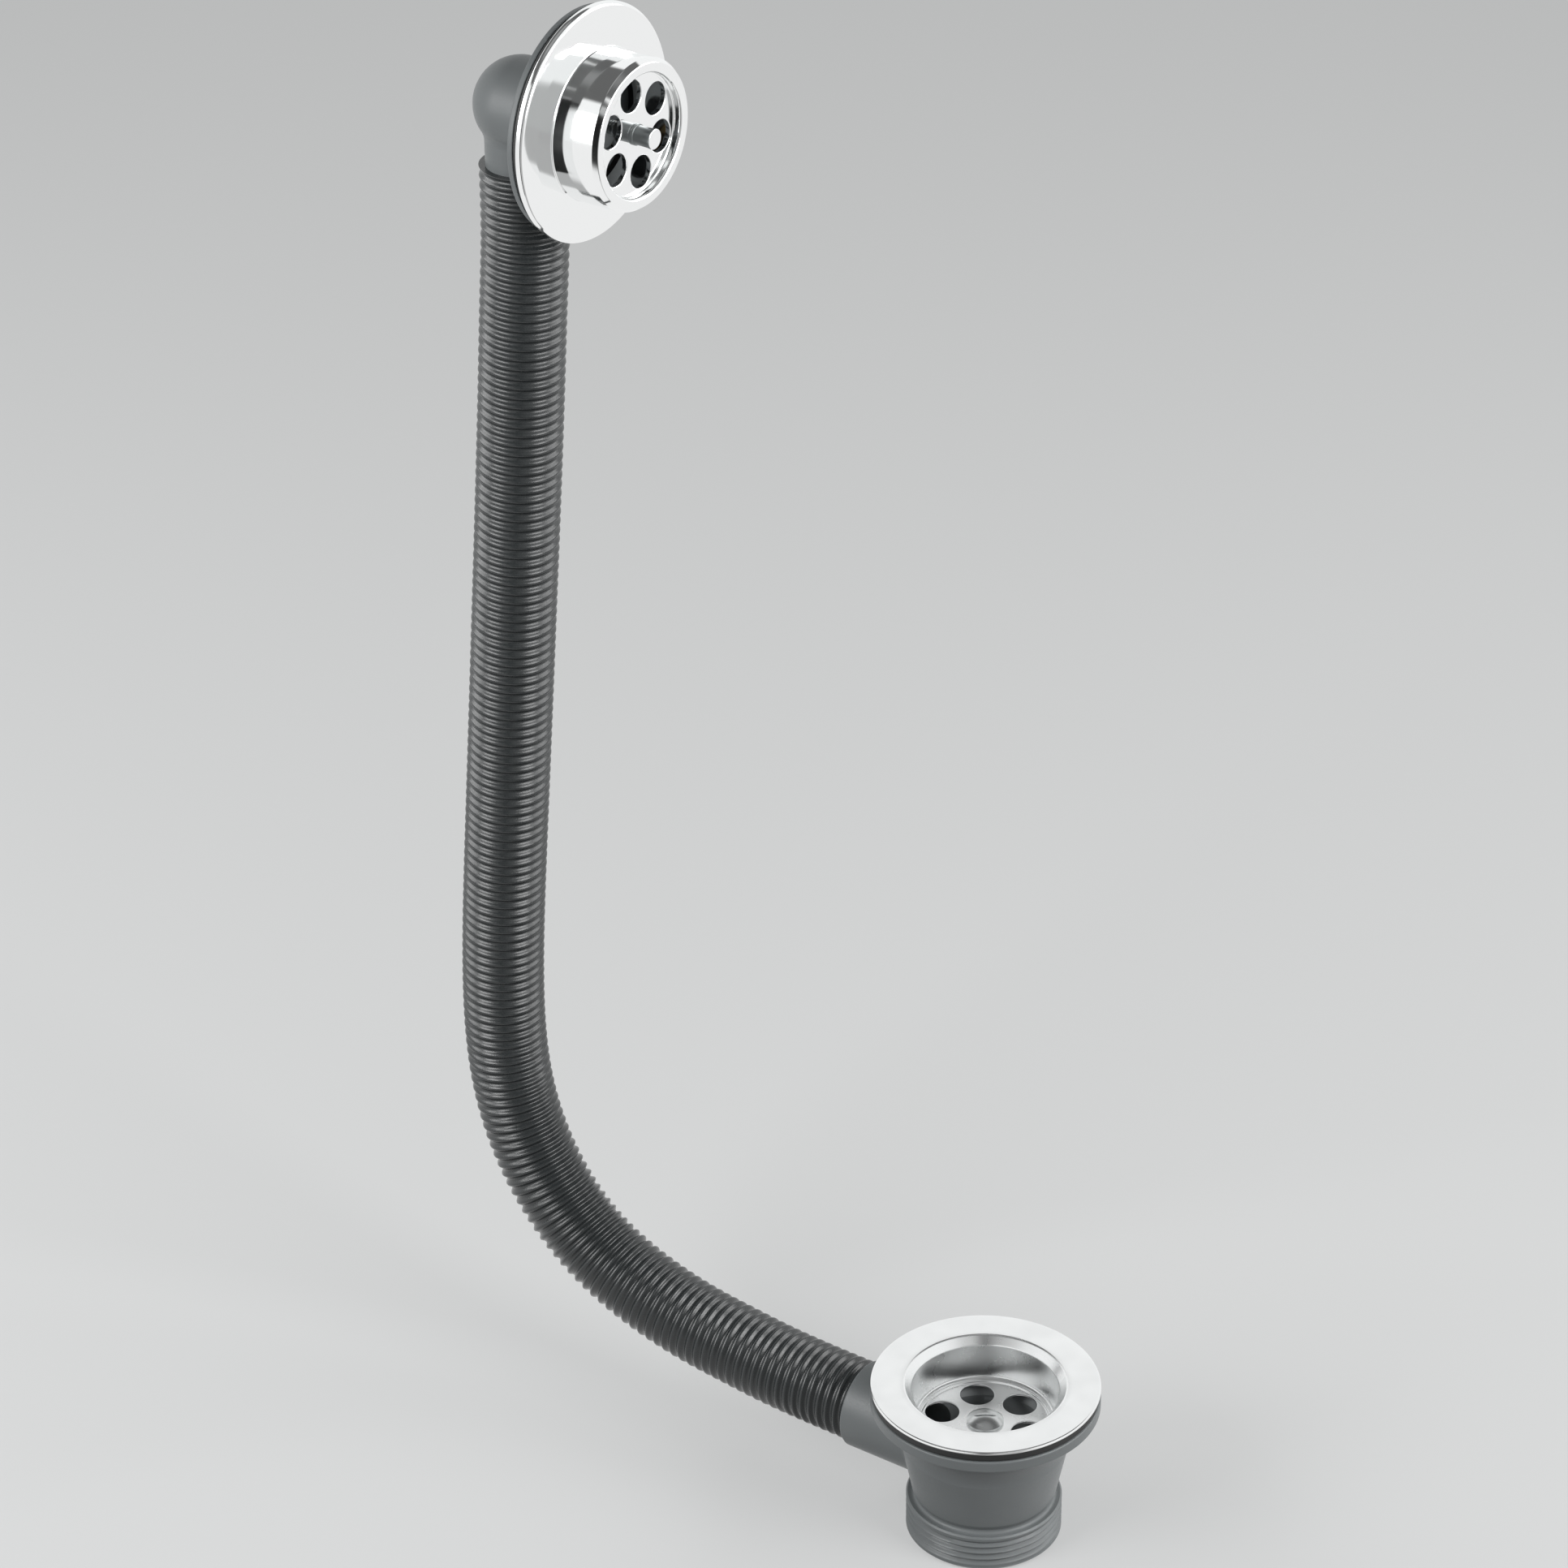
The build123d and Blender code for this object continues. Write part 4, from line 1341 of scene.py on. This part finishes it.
def floor_paint():
    """Pale matt paint that keeps the shadow, with the tent's gap on it for metal to show."""
    material = bpy.data.materials.new("pale_floor")
    material.use_nodes = True
    tree = material.node_tree
    tree.nodes.clear()
    place = add(tree, "ShaderNodeTexCoord").outputs["Object"]
    away = add(tree, "ShaderNodeVectorMath", {0: place, 1: GAP_FOOT}, operation="SUBTRACT")
    reach = add(tree, "ShaderNodeVectorMath", {0: away.outputs[0]}, operation="LENGTH")
    heading = level(tree, away.outputs[0])
    in_gap = sector(tree, heading, GAP_HEADING, FLOOR_GAP_EDGE, FLOOR_GAP_CORE, 0.0, FLOOR_GAP_SHADE)
    far = add(tree, "ShaderNodeMapRange", {
        "Value": reach.outputs["Value"], "From Min": SHADE_FROM, "From Max": SHADE_TO,
    }, interpolation_type="SMOOTHSTEP")
    shade = add(tree, "ShaderNodeMath", {0: in_gap, 1: far.outputs["Result"]}, operation="MULTIPLY")
    gap = add(tree, "ShaderNodeMath", {0: 1.0, 1: shade.outputs[0]}, operation="SUBTRACT")
    front = sector(
        tree, heading, FRONT_HEADING, FRONT_EDGE, FRONT_CORE, FLOOR_LIGHT, FLOOR_FRONT_LIGHT)
    mirrored = add(tree, "ShaderNodeMath", {0: gap.outputs[0], 1: front}, operation="MULTIPLY")
    path = add(tree, "ShaderNodeLightPath")
    glow = add(tree, "ShaderNodeMix", {
        0: path.outputs["Is Glossy Ray"], 2: WEAK_FLOOR, 3: mirrored.outputs[0]})
    tent_glow = add(tree, "ShaderNodeEmission", {
        "Color": linear("#fafafa"), "Strength": glow.outputs[0]})
    paint = add(tree, "ShaderNodeBsdfDiffuse", {"Color": linear("#bebfbf")})
    eye_glow = add(tree, "ShaderNodeEmission", {"Color": linear("#dcdddd"), "Strength": 1.0})
    to_eye = add(tree, "ShaderNodeMath", {
        0: path.outputs["Is Camera Ray"], 1: GLOW_SHARE}, operation="MULTIPLY")
    seen = add(tree, "ShaderNodeMixShader", {
        0: to_eye.outputs[0], 1: paint.outputs["BSDF"], 2: eye_glow.outputs["Emission"]})
    shown = add(tree, "ShaderNodeMixShader", {
        0: path.outputs["Is Camera Ray"], 1: tent_glow.outputs["Emission"], 2: seen.outputs["Shader"]})
    add(tree, "ShaderNodeOutputMaterial", {"Surface": shown.outputs["Shader"]})
    return material


floor_mesh.materials.append(floor_paint())
print("floor:", 2 * FLOOR_HALF, "m wide")

# %% [markdown]
# The walls and the ceiling are the world's. The wall in front is dim at its foot, and the wall on
# the +X side reaches higher than the others. As on the floor, only reflections see the tent in
# full, and the eye sees a plain pale backdrop.

# %% Surroundings
WALL_GAP_EDGE = math.radians(8.5)
WALL_GAP_CORE = math.radians(6)
WALL_GAP_LIGHT = 0.025
FOOT_LIGHT = 0.5
FOOT_FROM = math.radians(44)
FOOT_TO = math.radians(48)
TALL_HEADING = math.radians(0)
TALL_EDGE = math.radians(45)
TALL_CORE = math.radians(37)
TALL_LIFT = 0.114
TOP_FROM = math.radians(42)
TOP_TO = math.radians(46)
CEILING_FROM = math.radians(62)
CEILING_TO = math.radians(75)
CEILING_EDGE_LIGHT = 0.135
CEILING_LIGHT = 0.33
WEAK_LIGHT = 0.25
BACKDROP_LIGHT = 0.9

world = bpy.data.worlds.new("studio")
bpy.context.scene.world = world
world.use_nodes = True
sky = world.node_tree
sky.nodes.clear()
direction = add(sky, "ShaderNodeTexCoord").outputs["Generated"]
heading = level(sky, direction)
height = add(sky, "ShaderNodeSeparateXYZ", {"Vector": direction}).outputs["Z"]
gap = sector(sky, heading, GAP_HEADING, WALL_GAP_EDGE, WALL_GAP_CORE, 1.0, WALL_GAP_LIGHT)
foot = sector(sky, heading, FRONT_HEADING, FRONT_EDGE, FRONT_CORE, 1.0, FOOT_LIGHT)
above_foot = add(sky, "ShaderNodeMapRange", {
    "Value": height, "From Min": math.sin(FOOT_FROM), "From Max": math.sin(FOOT_TO),
}, interpolation_type="SMOOTHSTEP")
front = add(sky, "ShaderNodeMix", {0: above_foot.outputs["Result"], 2: foot, 3: 1.0})
wall = add(sky, "ShaderNodeMath", {0: gap, 1: front.outputs[0]}, operation="MULTIPLY")
lift = sector(sky, heading, TALL_HEADING, TALL_EDGE, TALL_CORE, 0.0, TALL_LIFT)
lowered = add(sky, "ShaderNodeMath", {0: height, 1: lift}, operation="SUBTRACT")
open_top = add(sky, "ShaderNodeMapRange", {
    "Value": lowered.outputs[0], "From Min": math.sin(TOP_FROM), "From Max": math.sin(TOP_TO),
}, interpolation_type="SMOOTHSTEP")
ceiling = add(sky, "ShaderNodeMapRange", {
    "Value": height, "From Min": math.sin(CEILING_FROM), "From Max": math.sin(CEILING_TO),
    "To Min": CEILING_EDGE_LIGHT, "To Max": CEILING_LIGHT,
}, interpolation_type="SMOOTHSTEP")
tent = add(sky, "ShaderNodeMix", {
    0: open_top.outputs["Result"], 2: wall.outputs[0], 3: ceiling.outputs["Result"]})
path = add(sky, "ShaderNodeLightPath")
indoors = add(sky, "ShaderNodeMix", {
    0: path.outputs["Is Glossy Ray"], 2: WEAK_LIGHT, 3: tent.outputs[0]})
strength = add(sky, "ShaderNodeMix", {
    0: path.outputs["Is Camera Ray"], 2: indoors.outputs[0], 3: BACKDROP_LIGHT})
backdrop = add(sky, "ShaderNodeBackground", {
    "Color": linear("#fbfcfc"), "Strength": strength.outputs[0]})
add(sky, "ShaderNodeOutputWorld", {"Surface": backdrop.outputs["Background"]})
print("tent:", len(sky.nodes), "nodes")

# %% [markdown]
# ## Lamps
# The four softboxes are for the plastics: a pair in front shapes the mouldings, and a pair at
# the sides lights the ribs out to the edge of the hose. The bright steel below would only show
# them as burnt-out patches, which a photographer screens off with a card, so the bowl and its
# screw are left out of the lamps' light and see the tent alone. A second card keeps the lamp at
# the left side off the grey mouldings as well.

# %% Lamps
LAMP_SIZE = 700
LAMP_TARGET = (-90, 0, 220)


def card(name, pieces):
    """A collection of pieces that the lamps which take it as receivers leave out."""
    screened = bpy.data.collections.new(name)
    for piece in pieces:
        screened.objects.link(piece)
    for member in screened.collection_objects:
        member.light_linking.link_state = "EXCLUDE"
    return screened


def softbox(name, place, power, screened):
    """A square area lamp that faces the object; places in millimetres, power in watts."""
    data = bpy.data.lights.new(name, "AREA")
    data.shape = "SQUARE"
    data.size = LAMP_SIZE * MM
    data.energy = power
    lamp = new_object(name, data)
    aim = (Vector(LAMP_TARGET) - Vector(place)).to_track_quat("-Z", "Y")
    lamp.matrix_world = Matrix.Translation(Vector(place) * MM) @ aim.to_matrix().to_4x4()
    lamp.visible_camera = False
    lamp.light_linking.receiver_collection = screened


low_card = card("behind_the_low_card", (bowl, screw))
side_card = card("behind_the_side_card", (bowl, screw, elbow, body))
softbox("left_softbox", (-534, -1045, 720), 12, low_card)
softbox("right_softbox", (1044, 59, 720), 12, low_card)
softbox("left_side_softbox", (-1133, -380, 760), 7, side_card)
softbox("right_side_softbox", (623, 850, 760), 6, low_card)

# %% [markdown]
# The colours above were chosen as they should appear, so the picture is shown without a film curve.

# %% Colour management
bpy.context.scene.view_settings.view_transform = "Standard"
print("view transform:", bpy.context.scene.view_settings.view_transform)
